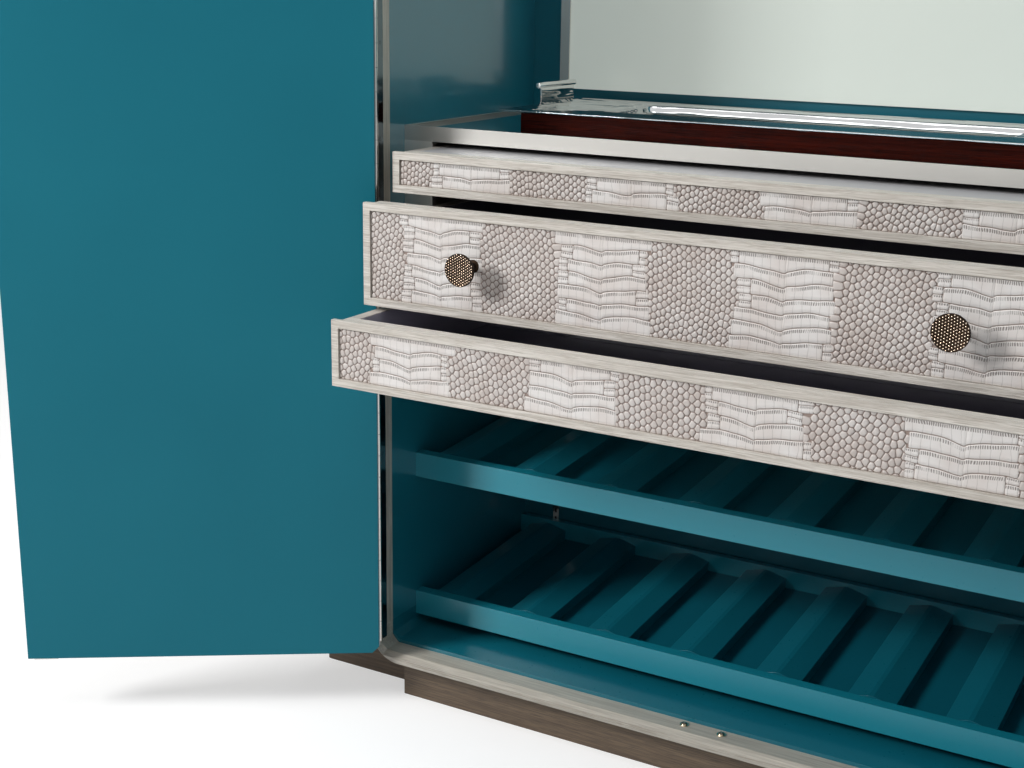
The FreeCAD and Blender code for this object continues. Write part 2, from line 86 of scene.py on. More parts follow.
class Side(Enum):
    """The cabinet's two sides, by the sign of X."""

    LEFT = -1
    RIGHT = 1

    @property
    def word(self) -> str:
        """The side's name as the nodes have it."""
        return self.name.lower()


class Shader:
    """One material being made: a Principled surface and the nodes that feed it."""

    def __init__(self, name: str) -> None:
        """Starts an empty material with a Principled surface linked to its output.

        Args:
            name: the material's name.
        """
        self.material = bpy.data.materials.new(name)
        self.material.use_nodes = True
        self.tree = self.material.node_tree
        self.tree.nodes.clear()
        self.surface = self.tree.nodes.new("ShaderNodeBsdfPrincipled")
        output = self.tree.nodes.new("ShaderNodeOutputMaterial")
        self.tree.links.new(self.surface.outputs[0], output.inputs[0])

    def feed(self, target: Socket, value: object) -> None:
        """Links a socket into an input, or sets the input to a plain value.

        Args:
            target: the input.
            value: a socket, a number or a colour.
        """
        if isinstance(value, bpy.types.NodeSocket):
            self.tree.links.new(value, target)
        elif isinstance(value, tuple) and len(value) == 3 and target.type == "RGBA":
            target.default_value = (*value, 1.0)
        else:
            target.default_value = value

    def set(self, **inputs: object) -> None:
        """Feeds the surface's inputs, named with underscores for spaces."""
        for name, value in inputs.items():
            self.feed(self.surface.inputs[name.replace("_", " ")], value)

    def position(self, scales: float | Triple) -> Socket:
        """Scales the object coordinates, which are in metres.

        Args:
            scales: one factor, or one for each axis.

        Returns:
            The scaled position.
        """
        coords = self.tree.nodes.new("ShaderNodeTexCoord")
        mapping = self.tree.nodes.new("ShaderNodeMapping")
        mapping.inputs["Scale"].default_value = scales if isinstance(scales, tuple) else (scales,) * 3
        self.tree.links.new(coords.outputs["Object"], mapping.inputs["Vector"])
        return mapping.outputs[0]

    def noise(self, scales: float | Triple, detail: float = 3.0, roughness: float = 0.55,
              distortion: float = 0.0) -> Socket:
        """Adds a noise pattern on the object coordinates.

        Args:
            scales: how often it changes in a metre, for all axes or each.
            detail: its number of finer layers.
            roughness: how strong the finer layers are.
            distortion: how far it is swirled.

        Returns:
            Its value, 0 to 1.
        """
        node = self.tree.nodes.new("ShaderNodeTexNoise")
        self.feed(node.inputs["Vector"], self.position(scales))
        for name, value in (("Scale", 1.0), ("Detail", detail), ("Roughness", roughness),
                            ("Distortion", distortion)):
            node.inputs[name].default_value = value
        return node.outputs[0]

    def attribute(self, name: str) -> Socket:
        """Reads a number stored on the mesh's points.

        Args:
            name: the attribute's name.

        Returns:
            The number.
        """
        node = self.tree.nodes.new("ShaderNodeAttribute")
        node.attribute_name = name
        return node.outputs["Fac"]

    def facing(self, axis: Axis) -> Socket:
        """Tells how squarely the surface faces along an axis.

        Args:
            axis: the axis.

        Returns:
            0 for a surface along the axis to 1 for one square to it.
        """
        coords = self.tree.nodes.new("ShaderNodeTexCoord")
        parts = self.tree.nodes.new("ShaderNodeSeparateXYZ")
        self.tree.links.new(coords.outputs["Normal"], parts.inputs[0])
        return self.math("ABSOLUTE", parts.outputs[axis.value], 0.0)

    def span(self, value: Socket, low: float, high: float) -> Socket:
        """Spreads a value and clamps it.

        Args:
            value: the value.
            low: what becomes 0.
            high: what becomes 1.

        Returns:
            The spread value.
        """
        node = self.tree.nodes.new("ShaderNodeMapRange")
        self.feed(node.inputs["Value"], value)
        node.inputs["From Min"].default_value = low
        node.inputs["From Max"].default_value = high
        return node.outputs[0]

    def math(self, operation: str, first: object, second: object) -> Socket:
        """Adds a math node.

        Args:
            operation: the node's operation.
            first: a socket or a number.
            second: a socket or a number.

        Returns:
            The result.
        """
        node = self.tree.nodes.new("ShaderNodeMath")
        node.operation = operation
        self.feed(node.inputs[0], first)
        self.feed(node.inputs[1], second)
        return node.outputs[0]

    def sum(self, first: object, second: object) -> Socket:
        """Two numbers or sockets added."""
        return self.math("ADD", first, second)

    def times(self, first: object, second: object) -> Socket:
        """Two numbers or sockets multiplied."""
        return self.math("MULTIPLY", first, second)

    def mix(self, share: Socket, first: object, second: object) -> Socket:
        """Mixes two colours.

        Args:
            share: the second colour's share, 0 to 1.
            first: a socket or a colour.
            second: a socket or a colour.

        Returns:
            The mixed colour.
        """
        node = self.tree.nodes.new("ShaderNodeMix")
        node.data_type = "RGBA"
        self.feed(node.inputs["Factor"], share)
        self.feed(node.inputs[6], first)
        self.feed(node.inputs[7], second)
        return node.outputs[2]

    def lines(self, pitch: float, jitter: Socket, width: float, core: float = 0.4) -> Socket:
        """Draws upright lines that repeat along X.

        Args:
            pitch: metres from line to line.
            jitter: how far a line is moved at each point, in pitches.
            width: half a line's width, in pitches.
            core: the share of that width that has the full value.

        Returns:
            1 on the lines, 0 between them.
        """
        parts = self.tree.nodes.new("ShaderNodeSeparateXYZ")
        self.feed(parts.inputs[0], self.position(1 / pitch))
        wave = self.math("PINGPONG", self.sum(parts.outputs[0], jitter), 0.5)
        return self.span(wave, width, core * width)

    def relief(self, height: Socket, distance: float, edge: float = 0.0) -> None:
        """Bends the surface's normal by a height and rounds its sharp edges.

        Args:
            height: the height, 0 to 1.
            distance: how many metres a height of 1 stands up.
            edge: the radius of the rounding in metres, or 0 for none.
        """
        node = self.tree.nodes.new("ShaderNodeBump")
        node.inputs["Strength"].default_value = 1.0
        node.inputs["Distance"].default_value = distance
        self.feed(node.inputs["Height"], height)
        if edge:
            bevel = self.tree.nodes.new("ShaderNodeBevel")
            bevel.samples = 4
            bevel.inputs["Radius"].default_value = edge
            self.feed(node.inputs["Normal"], bevel.outputs[0])
        self.set(Normal=node.outputs[0])


@dataclass(frozen=True)
class Wood:
    """Open-grained oak whose pores hold a pale or dark filler.

    Sizes are in metres. A window holds the pattern's values that become 0 and 1. Finer and
    coarser multiply the fibres' own count, along the grain and across it.
    """

    name: str
    dark: Display
    pale: Display
    pore: Display
    axis: Axis
    roughness: float = 0.5
    gloss: float = 0.5
    pore_depth: float = 0.00012
    pore_share: float = 0.7
    pore_finer: Pair = (2.2, 2.1)
    pore_window: Pair = (0.53, 0.64)
    fibre_width: float = 0.0011
    fibre_length: float = 0.055
    fibre_share: float = 0.4
    fibre_window: Pair = (0.34, 0.62)
    band_share: float = 0.35
    band_coarser: Pair = (0.5, 0.3)
    band_window: Pair = (0.36, 0.64)
    figure_width: float = 0.022
    figure_length: float = 0.5
    figure_share: float = 0.25
    figure_window: Pair = (0.3, 0.7)
    edge: float = 0.0007
    # Painted light: how much lighter tops and bevels are painted, in place of the light that falls on them.
    bevel_painted_light: float = 0.0
    bevel_window: Pair = (0.9, 0.55)
    bevel_pore_share: float = 0.5
    bevel_light_shades: Pair = (0.75, 1.7)

    def make(self) -> Material:
        """Lays bands, figure, fibres and pores along the grain.

        Returns:
            The finished material.
        """
        shader = Shader(self.name)
        dark, pale, filler = (linear(c) for c in (self.dark, self.pale, self.pore))
        length, width = 1 / self.fibre_length, 1 / self.fibre_width
        along = self.axis.stretched
        streak = shader.noise(along(length, width), detail=4.0, roughness=0.62, distortion=0.35)
        fine = shader.noise(along(self.pore_finer[0] * length, self.pore_finer[1] * width), detail=2.0)
        pore = shader.span(fine, *self.pore_window)
        band = shader.noise(along(self.band_coarser[0] * length, self.band_coarser[1] * width),
                            roughness=0.6, distortion=0.6)
        figure = shader.noise(along(1 / self.figure_length, 1 / self.figure_width), detail=2.0,
                              roughness=0.5, distortion=0.8)
        tone = shader.sum(shader.times(shader.span(band, *self.band_window), self.band_share),
                          shader.times(shader.span(figure, *self.figure_window), self.figure_share))
        tone = shader.sum(tone, shader.times(shader.span(streak, *self.fibre_window), self.fibre_share))
        colour = shader.mix(shader.times(pore, self.pore_share), shader.mix(tone, dark, pale), filler)
        # Painted light: faces turned away from the front (tops and bevels) get a lighter colour in place of
        # the sheen that light gives them.
        if self.bevel_painted_light:
            turned = shader.span(shader.facing(Axis.Y), *self.bevel_window)
            lit_bevel = shader.mix(tone, *(toned(pale, shade) for shade in self.bevel_light_shades))
            lit_bevel = shader.mix(shader.times(pore, self.bevel_pore_share), lit_bevel, dark)
            colour = shader.mix(shader.times(turned, self.bevel_painted_light), colour, lit_bevel)
        shader.set(Base_Color=colour, Roughness=self.roughness, Specular_IOR_Level=self.gloss)
        shader.relief(shader.sum(streak, shader.times(pore, -self.pore_share)), self.pore_depth, self.edge)
        return shader.material


@dataclass(frozen=True)
class Lacquer:
    """Sprayed colour coat with a faint ripple and slow colour drift."""

    name: str
    colour: Display
    deep: Display
    roughness: float = 0.3
    coat: float = 0.3
    gloss: float = 0.5
    drift_scale: float = 3.0
    drift_window: Pair = (0.3, 0.7)
    skin_scale: float = 260.0
    skin_spread: float = 0.12
    coat_roughness: float = 0.12
    ripple: float = 0.00004
    edge: float = 0.0009

    def make(self) -> Material:
        """Drifts between the two colours under a fine skin.

        Returns:
            The finished material.
        """
        shader = Shader(self.name)
        drift = shader.span(shader.noise(self.drift_scale, detail=2.0), *self.drift_window)
        skin = shader.noise(self.skin_scale, detail=2.0)
        rough = shader.sum(shader.times(skin, self.skin_spread), self.roughness - self.skin_spread / 2)
        shader.set(Base_Color=shader.mix(drift, linear(self.colour), linear(self.deep)), Roughness=rough,
                   Specular_IOR_Level=self.gloss, Coat_Weight=self.coat, Coat_Roughness=self.coat_roughness)
        shader.relief(skin, self.ripple, self.edge)
        return shader.material


@dataclass(frozen=True)
class Metal:
    """Metal, from polished to satin, with fine brushing along one axis."""

    name: str
    colour: Display
    roughness: float
    axis: Axis = Axis.X
    brushing: float = 0.0
    brush_along: float = 9.0
    brush_across: float = 1600.0
    wave: float = 0.0
    wave_scale: float = 14.0
    wave_across: float = 14.0
    shade: float = 0.9
    depth: float = 0.0002
    edge: float = 0.0004

    def make(self) -> Material:
        """Brushes the metal and lets its surface wave.

        Returns:
            The finished material.
        """
        shader = Shader(self.name)
        colour = linear(self.colour)
        brushed = shader.times(shader.noise(self.axis.stretched(self.brush_along, self.brush_across),
                                            detail=2.0), self.brushing)
        cloud = shader.noise(self.axis.stretched(self.wave_scale, self.wave_across), detail=2.0)
        shader.set(Base_Color=shader.mix(cloud, colour, toned(colour, self.shade)), Metallic=1.0,
                   Roughness=shader.sum(brushed, self.roughness - self.brushing / 2))
        shader.relief(shader.sum(brushed, shader.times(cloud, self.wave)), self.depth, self.edge)
        return shader.material


@dataclass(frozen=True)
class Glass:
    """Sheet of glass with a painted or silvered back."""

    name: str
    colour: Display
    silver: float
    roughness: float
    # Painted light: an emission strength that makes the glass glow though it is no lamp.
    glow: float
    haze_scales: Triple = (5.0, 5.0, 2.0)
    haze_spread: float = 0.02
    shade: float = 0.95

    def make(self) -> Material:
        """Lays a faint haze over the backing.

        Returns:
            The finished material.
        """
        shader = Shader(self.name)
        colour = linear(self.colour)
        haze = shader.noise(self.haze_scales, detail=2.0)
        shader.set(Base_Color=shader.mix(haze, colour, toned(colour, self.shade)), Metallic=self.silver,
                   Roughness=shader.sum(shader.times(haze, self.haze_spread), self.roughness),
                   Emission_Color=colour, Emission_Strength=self.glow)
        return shader.material


@dataclass(frozen=True)
class EmbossedHide:
    """Glazed leather, dark down in the creases between its scales. Pitches and depth are in metres."""

    name: str
    ridge: Display
    blush: Display
    crease: Display
    mark: Display
    patch_scale: float = 22.0
    patch_window: Pair = (0.38, 0.66)
    grain_scale: float = 900.0
    grain_relief: float = 0.3
    drift_scale: float = 55.0
    drift: float = 3.0
    wear_scale: float = 70.0
    wear_window: Pair = (0.3, 0.5)
    brow_window: Pair = (0.2, 0.7)
    crease_window: Pair = (0.7, 0.1)
    mark_relief: float = -0.9
    tick_pitch: float = 0.002
    tick_width: float = 0.34
    tick_share: float = 0.8
    line_pitch: float = 0.0085
    line_width: float = 0.04
    line_share: float = 0.3
    line_drift: float = 0.2
    shade_share: float = 0.85
    roughness: float = 0.33
    grain_spread: float = 0.2
    coat: float = 0.15
    coat_roughness: float = 0.3
    depth: float = 0.00025

    def make(self) -> Material:
        """Lays ticks and fine lines over the scales and darkens their creases.

        Returns:
            The finished material.
        """
        shader = Shader(self.name)
        ridge, blush, crease, mark = (linear(c) for c in (self.ridge, self.blush, self.crease, self.mark))
        rise, shade, brow, belly = (shader.attribute(n) for n in ("rise", "shade", "brow", "belly"))
        patch = shader.span(shader.noise(self.patch_scale), *self.patch_window)
        grain = shader.noise(self.grain_scale)
        drift = shader.times(shader.noise(self.drift_scale, detail=2.0), self.drift)
        tick = shader.lines(self.tick_pitch, drift, self.tick_width)
        tick = shader.times(tick, shader.span(brow, *self.brow_window))
        tick = shader.times(tick, shader.span(shader.noise(self.wear_scale), *self.wear_window))
        line = shader.lines(self.line_pitch, shader.times(drift, self.line_drift), self.line_width)
        marks = shader.math("MAXIMUM", shader.times(tick, self.tick_share),
                            shader.times(shader.times(line, belly), self.line_share))
        body = shader.mix(shader.times(shade, self.shade_share), shader.mix(patch, ridge, blush), crease)
        colour = shader.mix(shader.span(rise, *self.crease_window), shader.mix(marks, body, mark), crease)
        shader.set(Base_Color=colour, Coat_Weight=self.coat, Coat_Roughness=self.coat_roughness,
                   Roughness=shader.sum(shader.times(grain, self.grain_spread), self.roughness))
        skin = shader.times(grain, self.grain_relief)
        shader.relief(shader.sum(skin, shader.times(marks, self.mark_relief)), self.depth)
        return shader.material


class Finishes:
    """Every material of the cabinet, made once."""

    def __init__(self) -> None:
        """Makes the materials."""
        oak = {"dark": (170, 161, 150), "pale": (228, 223, 215), "pore": (158, 148, 136)}
        # The frame's oak colours are painted darker than the drawers' oak: painted shade for the lower light
        # on the frame.
        frame_oak_painted_shade = {"dark": (124, 115, 101), "pale": (184, 178, 166), "pore": (196, 190, 180)}
        brown = {"dark": (66, 52, 40), "pale": (120, 102, 82), "pore": (52, 42, 33)}
        column = {"dark": (78, 68, 56), "pale": (130, 115, 98), "pore": (64, 54, 44)}
        side_wood = {"dark": (170, 160, 152), "pale": (208, 200, 192), "pore": (180, 170, 160)}
        red_brown = {"dark": (18, 5, 3), "pale": (88, 24, 11), "pore": (13, 4, 3)}
        waxed = {"roughness": 0.36, "gloss": 0.95}
        self.oak_across = Wood("pale_oak_across", axis=Axis.X, **oak).make()
        self.oak_upright = Wood("pale_oak_upright", axis=Axis.Z, **oak).make()
        # The frame's tops and bevels also get painted light through the bevel setting.
        self.frame_painted_shade_across = Wood("frame_oak_across", axis=Axis.X, bevel_painted_light=0.6, **frame_oak_painted_shade, **waxed).make()
        self.frame_painted_shade_upright = Wood("frame_oak_upright", axis=Axis.Z, bevel_painted_light=0.75, **frame_oak_painted_shade,
                                  **waxed).make()
        self.brown_across = Wood("brown_oak_across", axis=Axis.X, **brown).make()
        self.brown_upright = Wood("brown_oak_upright", axis=Axis.Z, **column, **waxed).make()
        self.drawer_wood = Wood("drawer_side_wood", axis=Axis.Y, roughness=0.45, **side_wood).make()
        self.mahogany = Wood("dark_mahogany", axis=Axis.X, roughness=0.25, gloss=0.04, **red_brown).make()

        self.teal_wall = Lacquer("teal_wall_lacquer", (20, 118, 136), (16, 112, 130), 0.32, 1.0, 1.0).make()
        self.teal = Lacquer("teal_lacquer", (17, 108, 124), (13, 101, 118), 0.3, 0.2, 0.45).make()
        self.teal_satin = Lacquer("teal_satin_lacquer", (22, 118, 136), (17, 112, 130), 0.42, 0.0,
                                  0.22).make()
        # A lighter copy of the teal lacquer: painted light for the racks' trays.
        self.teal_rack_painted_light = Lacquer("teal_rack_lacquer", (24, 136, 154), (19, 128, 146), 0.3, 0.2, 0.45).make()
        # A darker copy of the teal lacquer: painted shade for the back, the top and the racks' floors.
        self.teal_painted_shade = Lacquer("teal_deep_lacquer", (12, 96, 112), (9, 90, 106), 0.36, 0.0, 0.3).make()
        self.charcoal = Lacquer("charcoal_lining", (110, 107, 116), (96, 93, 103), 0.14, 0.6).make()
        # A much lighter copy of the charcoal lining for the lower drawer: painted light that makes up for the
        # shade under the middle drawer.
        self.charcoal_painted_light = Lacquer("charcoal_lining_deep", (186, 182, 196), (160, 157, 172), 0.1,
                                     0.6).make()
        self.grey_lining = Lacquer("grey_shelf", (176, 175, 177), (166, 165, 168), 0.4, 0.1).make()

        # One silver lacquer in two copies: the stiles' copy is painted lighter and the counter's darker, as
        # painted light and painted shade.
        self.silver = Metal("silver_lacquer", (222, 219, 214), 0.4, brushing=0.03).make()
        self.counter = Metal("silver_counter", (192, 190, 185), 0.4, brushing=0.03).make()
        # The hinge nickel is painted dark and teal-tinted: a painted reflection of the teal interior.
        self.hinge = Metal("hinge_nickel", (112, 124, 129), 0.1, Axis.Z, wave=0.25).make()
        self.nickel = Metal("polished_nickel", (205, 203, 198), 0.04, Axis.Z, wave=0.25).make()
        self.chrome = Metal("tray_chrome", (204, 205, 206), 0.05, wave=26.0, wave_scale=7.0,
                            wave_across=30.0).make()
        self.hammered = Metal("tray_handle_chrome", (232, 232, 230), 0.05, Axis.Y, wave=12.0,
                              wave_scale=12.0, wave_across=46.0).make()
        self.bronze = Metal("antique_bronze", (44, 34, 26), 0.4, wave=2.0).make()
        self.dots = Metal("rubbed_bronze_dots", (226, 206, 186), 0.16, wave=0.5, edge=0.0001).make()
        # Near-black colour for the shelf standards' slots: painted shade standing in for their dark insides.
        self.recess = Metal("dark_screw_recess", (40, 38, 36), 0.5).make()
        self.brass = Metal("catch_pale_brass", (196, 186, 166), 0.14).make()

        # The mirror glows though it is no lamp: painted light that keeps it evenly pale.
        self.mirror = Glass("pale_silvered_glass", (174, 180, 173), 0.1, 0.25, glow=0.6).make()
        self.dark_glass = Glass("dark_mirror_glass", (226, 232, 235), 1.0, 0.02, glow=0.0).make()
        self.hide = EmbossedHide("embossed_hide", ridge=(226, 222, 219), blush=(214, 206, 201),
                                 crease=(144, 127, 118), mark=(92, 82, 76)).make()


def place(name: str, mesh: Mesh, body: str, slot: str, material: Material | None = None,
          smooth: bool = True) -> bpy.types.Object:
    """Puts a finished mesh into the scene and lets it ride on a body.

    Args:
        name: the piece's name.
        mesh: its mesh, in the row frame.
        body: the CAD body that it rides on.
        slot: the record's material slot; not used.
        material: its material, where the mesh has none yet.
        smooth: whether its faces are shaded smooth.

    Returns:
        The piece.
    """
    piece = bpy.data.objects.new(name, mesh)
    bpy.context.scene.collection.objects.link(piece)
    if material is not None:
        mesh.materials.clear()
        mesh.materials.append(material)
    mesh.polygons.foreach_set("use_smooth", [smooth] * len(mesh.polygons))
    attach(piece, body)
    LOG.info("%s rides on %s: %d faces", name, body, len(mesh.polygons))
    return piece


def dress(material: Material, *nodes: str) -> None:
    """Gives CAD nodes their material.

    Args:
        material: the material.
        nodes: the nodes' names.
    """
    for node in nodes:
        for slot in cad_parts[node].material_slots:
            slot.material = material
        LOG.info("%s is dressed in %s", node, material.name)


def mesh_of(name: str, points: list[Vector], faces: Faces) -> Mesh:
    """Makes a mesh and turns its faces outward.

    Args:
        name: the mesh's name.
        points: its points, in metres.
        faces: its faces, by the numbers of their points.

    Returns:
        The mesh.
    """
    mesh = bpy.data.meshes.new(name)
    mesh.from_pydata([tuple(p) for p in points], [], faces)
    shell = bmesh.new()
    shell.from_mesh(mesh)
    bmesh.ops.recalc_face_normals(shell, faces=shell.faces)
    shell.to_mesh(mesh)
    shell.free()
    return mesh


def creased(mesh: Mesh, degrees: float) -> Mesh:
    """The same mesh with its edges crisp where they turn by more than an angle."""
    mesh.set_sharp_from_angle(angle=math.radians(degrees))
    return mesh


def loft_faces(slices: int, count: int, start: int) -> Faces:
    """Joins loops of points into a closed body.

    Args:
        slices: the number of steps from one loop to the next.
        count: the points of each loop.
        start: the first point's number.

    Returns:
        The walls and the two ends.
    """
    faces = [[start + a * count + i, start + a * count + (i + 1) % count,
              start + (a + 1) * count + (i + 1) % count, start + (a + 1) * count + i]
             for a in range(slices) for i in range(count)]
    last = start + slices * count
    return faces + [list(range(start, start + count)), list(range(last, last + count))]


@dataclass
class PhotoCamera:
    """The photograph's camera, solved from the cabinet's straight edges. Angles are in degrees."""

    place_mm: Triple = (546.5, -1585.5, 866.7)
    yaw: float = 29.622
    pitch: float = 15.305
    roll: float = -0.922
    focal_pixels: float = 1487.24
    image_width: float = 1024.0
    sensor_width: float = 36.0
    clip_start: float = 0.05

    def build(self) -> None:
        """Makes the camera and gives it to the scene."""
        yaw, pitch, roll = (math.radians(a) for a in (self.yaw, self.pitch, self.roll))
        ahead = Vector((-math.sin(yaw) * math.cos(pitch), math.cos(yaw) * math.cos(pitch), -math.sin(pitch)))
        level = Vector((math.cos(yaw), math.sin(yaw), 0.0))
        down = ahead.cross(level)
        right = math.cos(roll) * level + math.sin(roll) * down
        low = -math.sin(roll) * level + math.cos(roll) * down
        lens = bpy.data.cameras.new("photo_camera")
        lens.sensor_width = self.sensor_width
        lens.lens = self.focal_pixels * self.sensor_width / self.image_width
        lens.clip_start = self.clip_start
        camera = bpy.data.objects.new("photo_camera", lens)
        bpy.context.scene.collection.objects.link(camera)
        turn = Matrix((right, -low, -ahead)).transposed().to_4x4()
        camera.matrix_world = Matrix.Translation(Vector(self.place_mm) * MM) @ turn
        bpy.context.scene.camera = camera


@dataclass(frozen=True)
class Lamp:
    """A square area lamp: its place, aim and size in metres and its power in watts."""

    name: str
    place: Triple
    aim: Triple
    size: float
    power: float

    def build(self) -> None:
        """Makes the lamp and turns it to its aim."""
        light = bpy.data.lights.new(self.name, "AREA")
        light.size = self.size
        light.energy = self.power
        holder = bpy.data.objects.new(self.name, light)
        holder.location = self.place
        aim = Vector(self.aim) - Vector(self.place)
        holder.rotation_euler = aim.to_track_quat("-Z", "Y").to_euler()
        bpy.context.scene.collection.objects.link(holder)


@dataclass
class Studio:
    """Pale floor, white surroundings and soft lamps."""

    floor_half: float = 30.0
    floor_drop: float = 0.0002
    floor_tone: float = 0.6
    floor_roughness: float = 0.9
    floor_gloss: float = 0.1
    floor_glow: float = 0.5
    sky_strength: float = 0.14
    lamps: tuple[Lamp, ...] = (
        Lamp("key_lamp", (-2.3, -2.7, 2.1), (-0.1, -0.25, 0.55), 0.9, 104.0),
        Lamp("fill_lamp", (2.4, -3.2, 1.8), (-0.1, 0.0, 0.5), 2.4, 2.0),
        Lamp("top_lamp", (-0.3, -1.1, 3.4), (-0.1, -0.3, 0.4), 2.4, 46.0),
        Lamp("side_lamp", (3.4, 0.4, 1.9), (0.4, 0.0, 0.8), 1.8, 22.0),
        Lamp("back_lamp", (-0.6, 3.4, 2.2), (0.0, 0.2, 0.8), 1.8, 22.0))

    def seen(self, tree: bpy.types.NodeTree) -> Socket:
        """Tells rays that show a thing from rays that only light it.

        Args:
            tree: the node tree that needs it.

        Returns:
            1 for rays from the eye or by way of gloss or glass, 0 for plain light.
        """
        path = tree.nodes.new("ShaderNodeLightPath")
        share = path.outputs["Is Camera Ray"]
        for name in ("Is Glossy Ray", "Is Transmission Ray"):
            either = tree.nodes.new("ShaderNodeMath")
            either.operation = "ADD"
            either.use_clamp = True
            tree.links.new(share, either.inputs[0])
            tree.links.new(path.outputs[name], either.inputs[1])
            share = either.outputs[0]
        return share

    def surroundings(self) -> None:
        """Makes a world that is white to the eye and to gloss, and softer as light."""
        world = bpy.data.worlds.new("studio_white")
        world.use_nodes = True
        tree = world.node_tree
        tree.nodes.clear()
        soft = tree.nodes.new("ShaderNodeBackground")
        white = tree.nodes.new("ShaderNodeBackground")
        blend = tree.nodes.new("ShaderNodeMixShader")
        output = tree.nodes.new("ShaderNodeOutputWorld")
        soft.inputs["Strength"].default_value = self.sky_strength
        for light in (soft, white):
            light.inputs["Color"].default_value = (*WHITE, 1.0)
        tree.links.new(self.seen(tree), blend.inputs[0])
        tree.links.new(soft.outputs[0], blend.inputs[1])
        tree.links.new(white.outputs[0], blend.inputs[2])
        tree.links.new(blend.outputs[0], output.inputs[0])
        bpy.context.scene.world = world

    def floor(self) -> None:
        """Makes a white floor that keeps the cabinet's shadow."""
        half = self.floor_half
        corners = ((-half, -half), (half, -half), (half, half), (-half, half))
        mesh = bpy.data.meshes.new("studio_floor")
        mesh.from_pydata([(x, y, -self.floor_drop) for x, y in corners], [], [[0, 1, 2, 3]])
        ground = bpy.data.objects.new("studio_floor", mesh)
        shader = Shader("studio_floor")
        glow = shader.times(self.seen(shader.tree), self.floor_glow)
        shader.set(Base_Color=(self.floor_tone,) * 3, Roughness=self.floor_roughness,
                   Specular_IOR_Level=self.floor_gloss, Emission_Color=WHITE, Emission_Strength=glow)
        mesh.materials.append(shader.material)
        bpy.context.scene.collection.objects.link(ground)

    def build(self) -> None:
        """Makes the floor, the surroundings and the lamps."""
        bpy.context.scene.view_settings.view_transform = "Standard"
        self.surroundings()
        self.floor()
        for lamp in self.lamps:
            lamp.build()


@dataclass
class Scales:
    """Closed scales of one panel, with what the leather's finish reads from each point."""

    face: float
    points: list[Vector] = field(default_factory=list)
    faces: Faces = field(default_factory=list)
    facts: dict[str, list[float]] = field(default_factory=dict)

    def add(self, slices: list[list[tuple[float, ...]]], shade: float, belly: float) -> None:
        """Adds one scale.

        Args:
            slices: loops of X, Z, depth, rise and brow, all with the same count of points.
            shade: how dark the whole scale is.
            belly: 1 for a belly scale, 0 for a round one.
        """
        self.faces += loft_faces(len(slices) - 1, len(slices[0]), len(self.points))
        for x, z, depth, rise, brow in (spot for loop in slices for spot in loop):
            self.points.append(Vector((x, self.face + depth, z)) * MM)
            for name, value in (("rise", rise), ("shade", shade), ("brow", brow), ("belly", belly)):
                self.facts.setdefault(name, []).append(value)


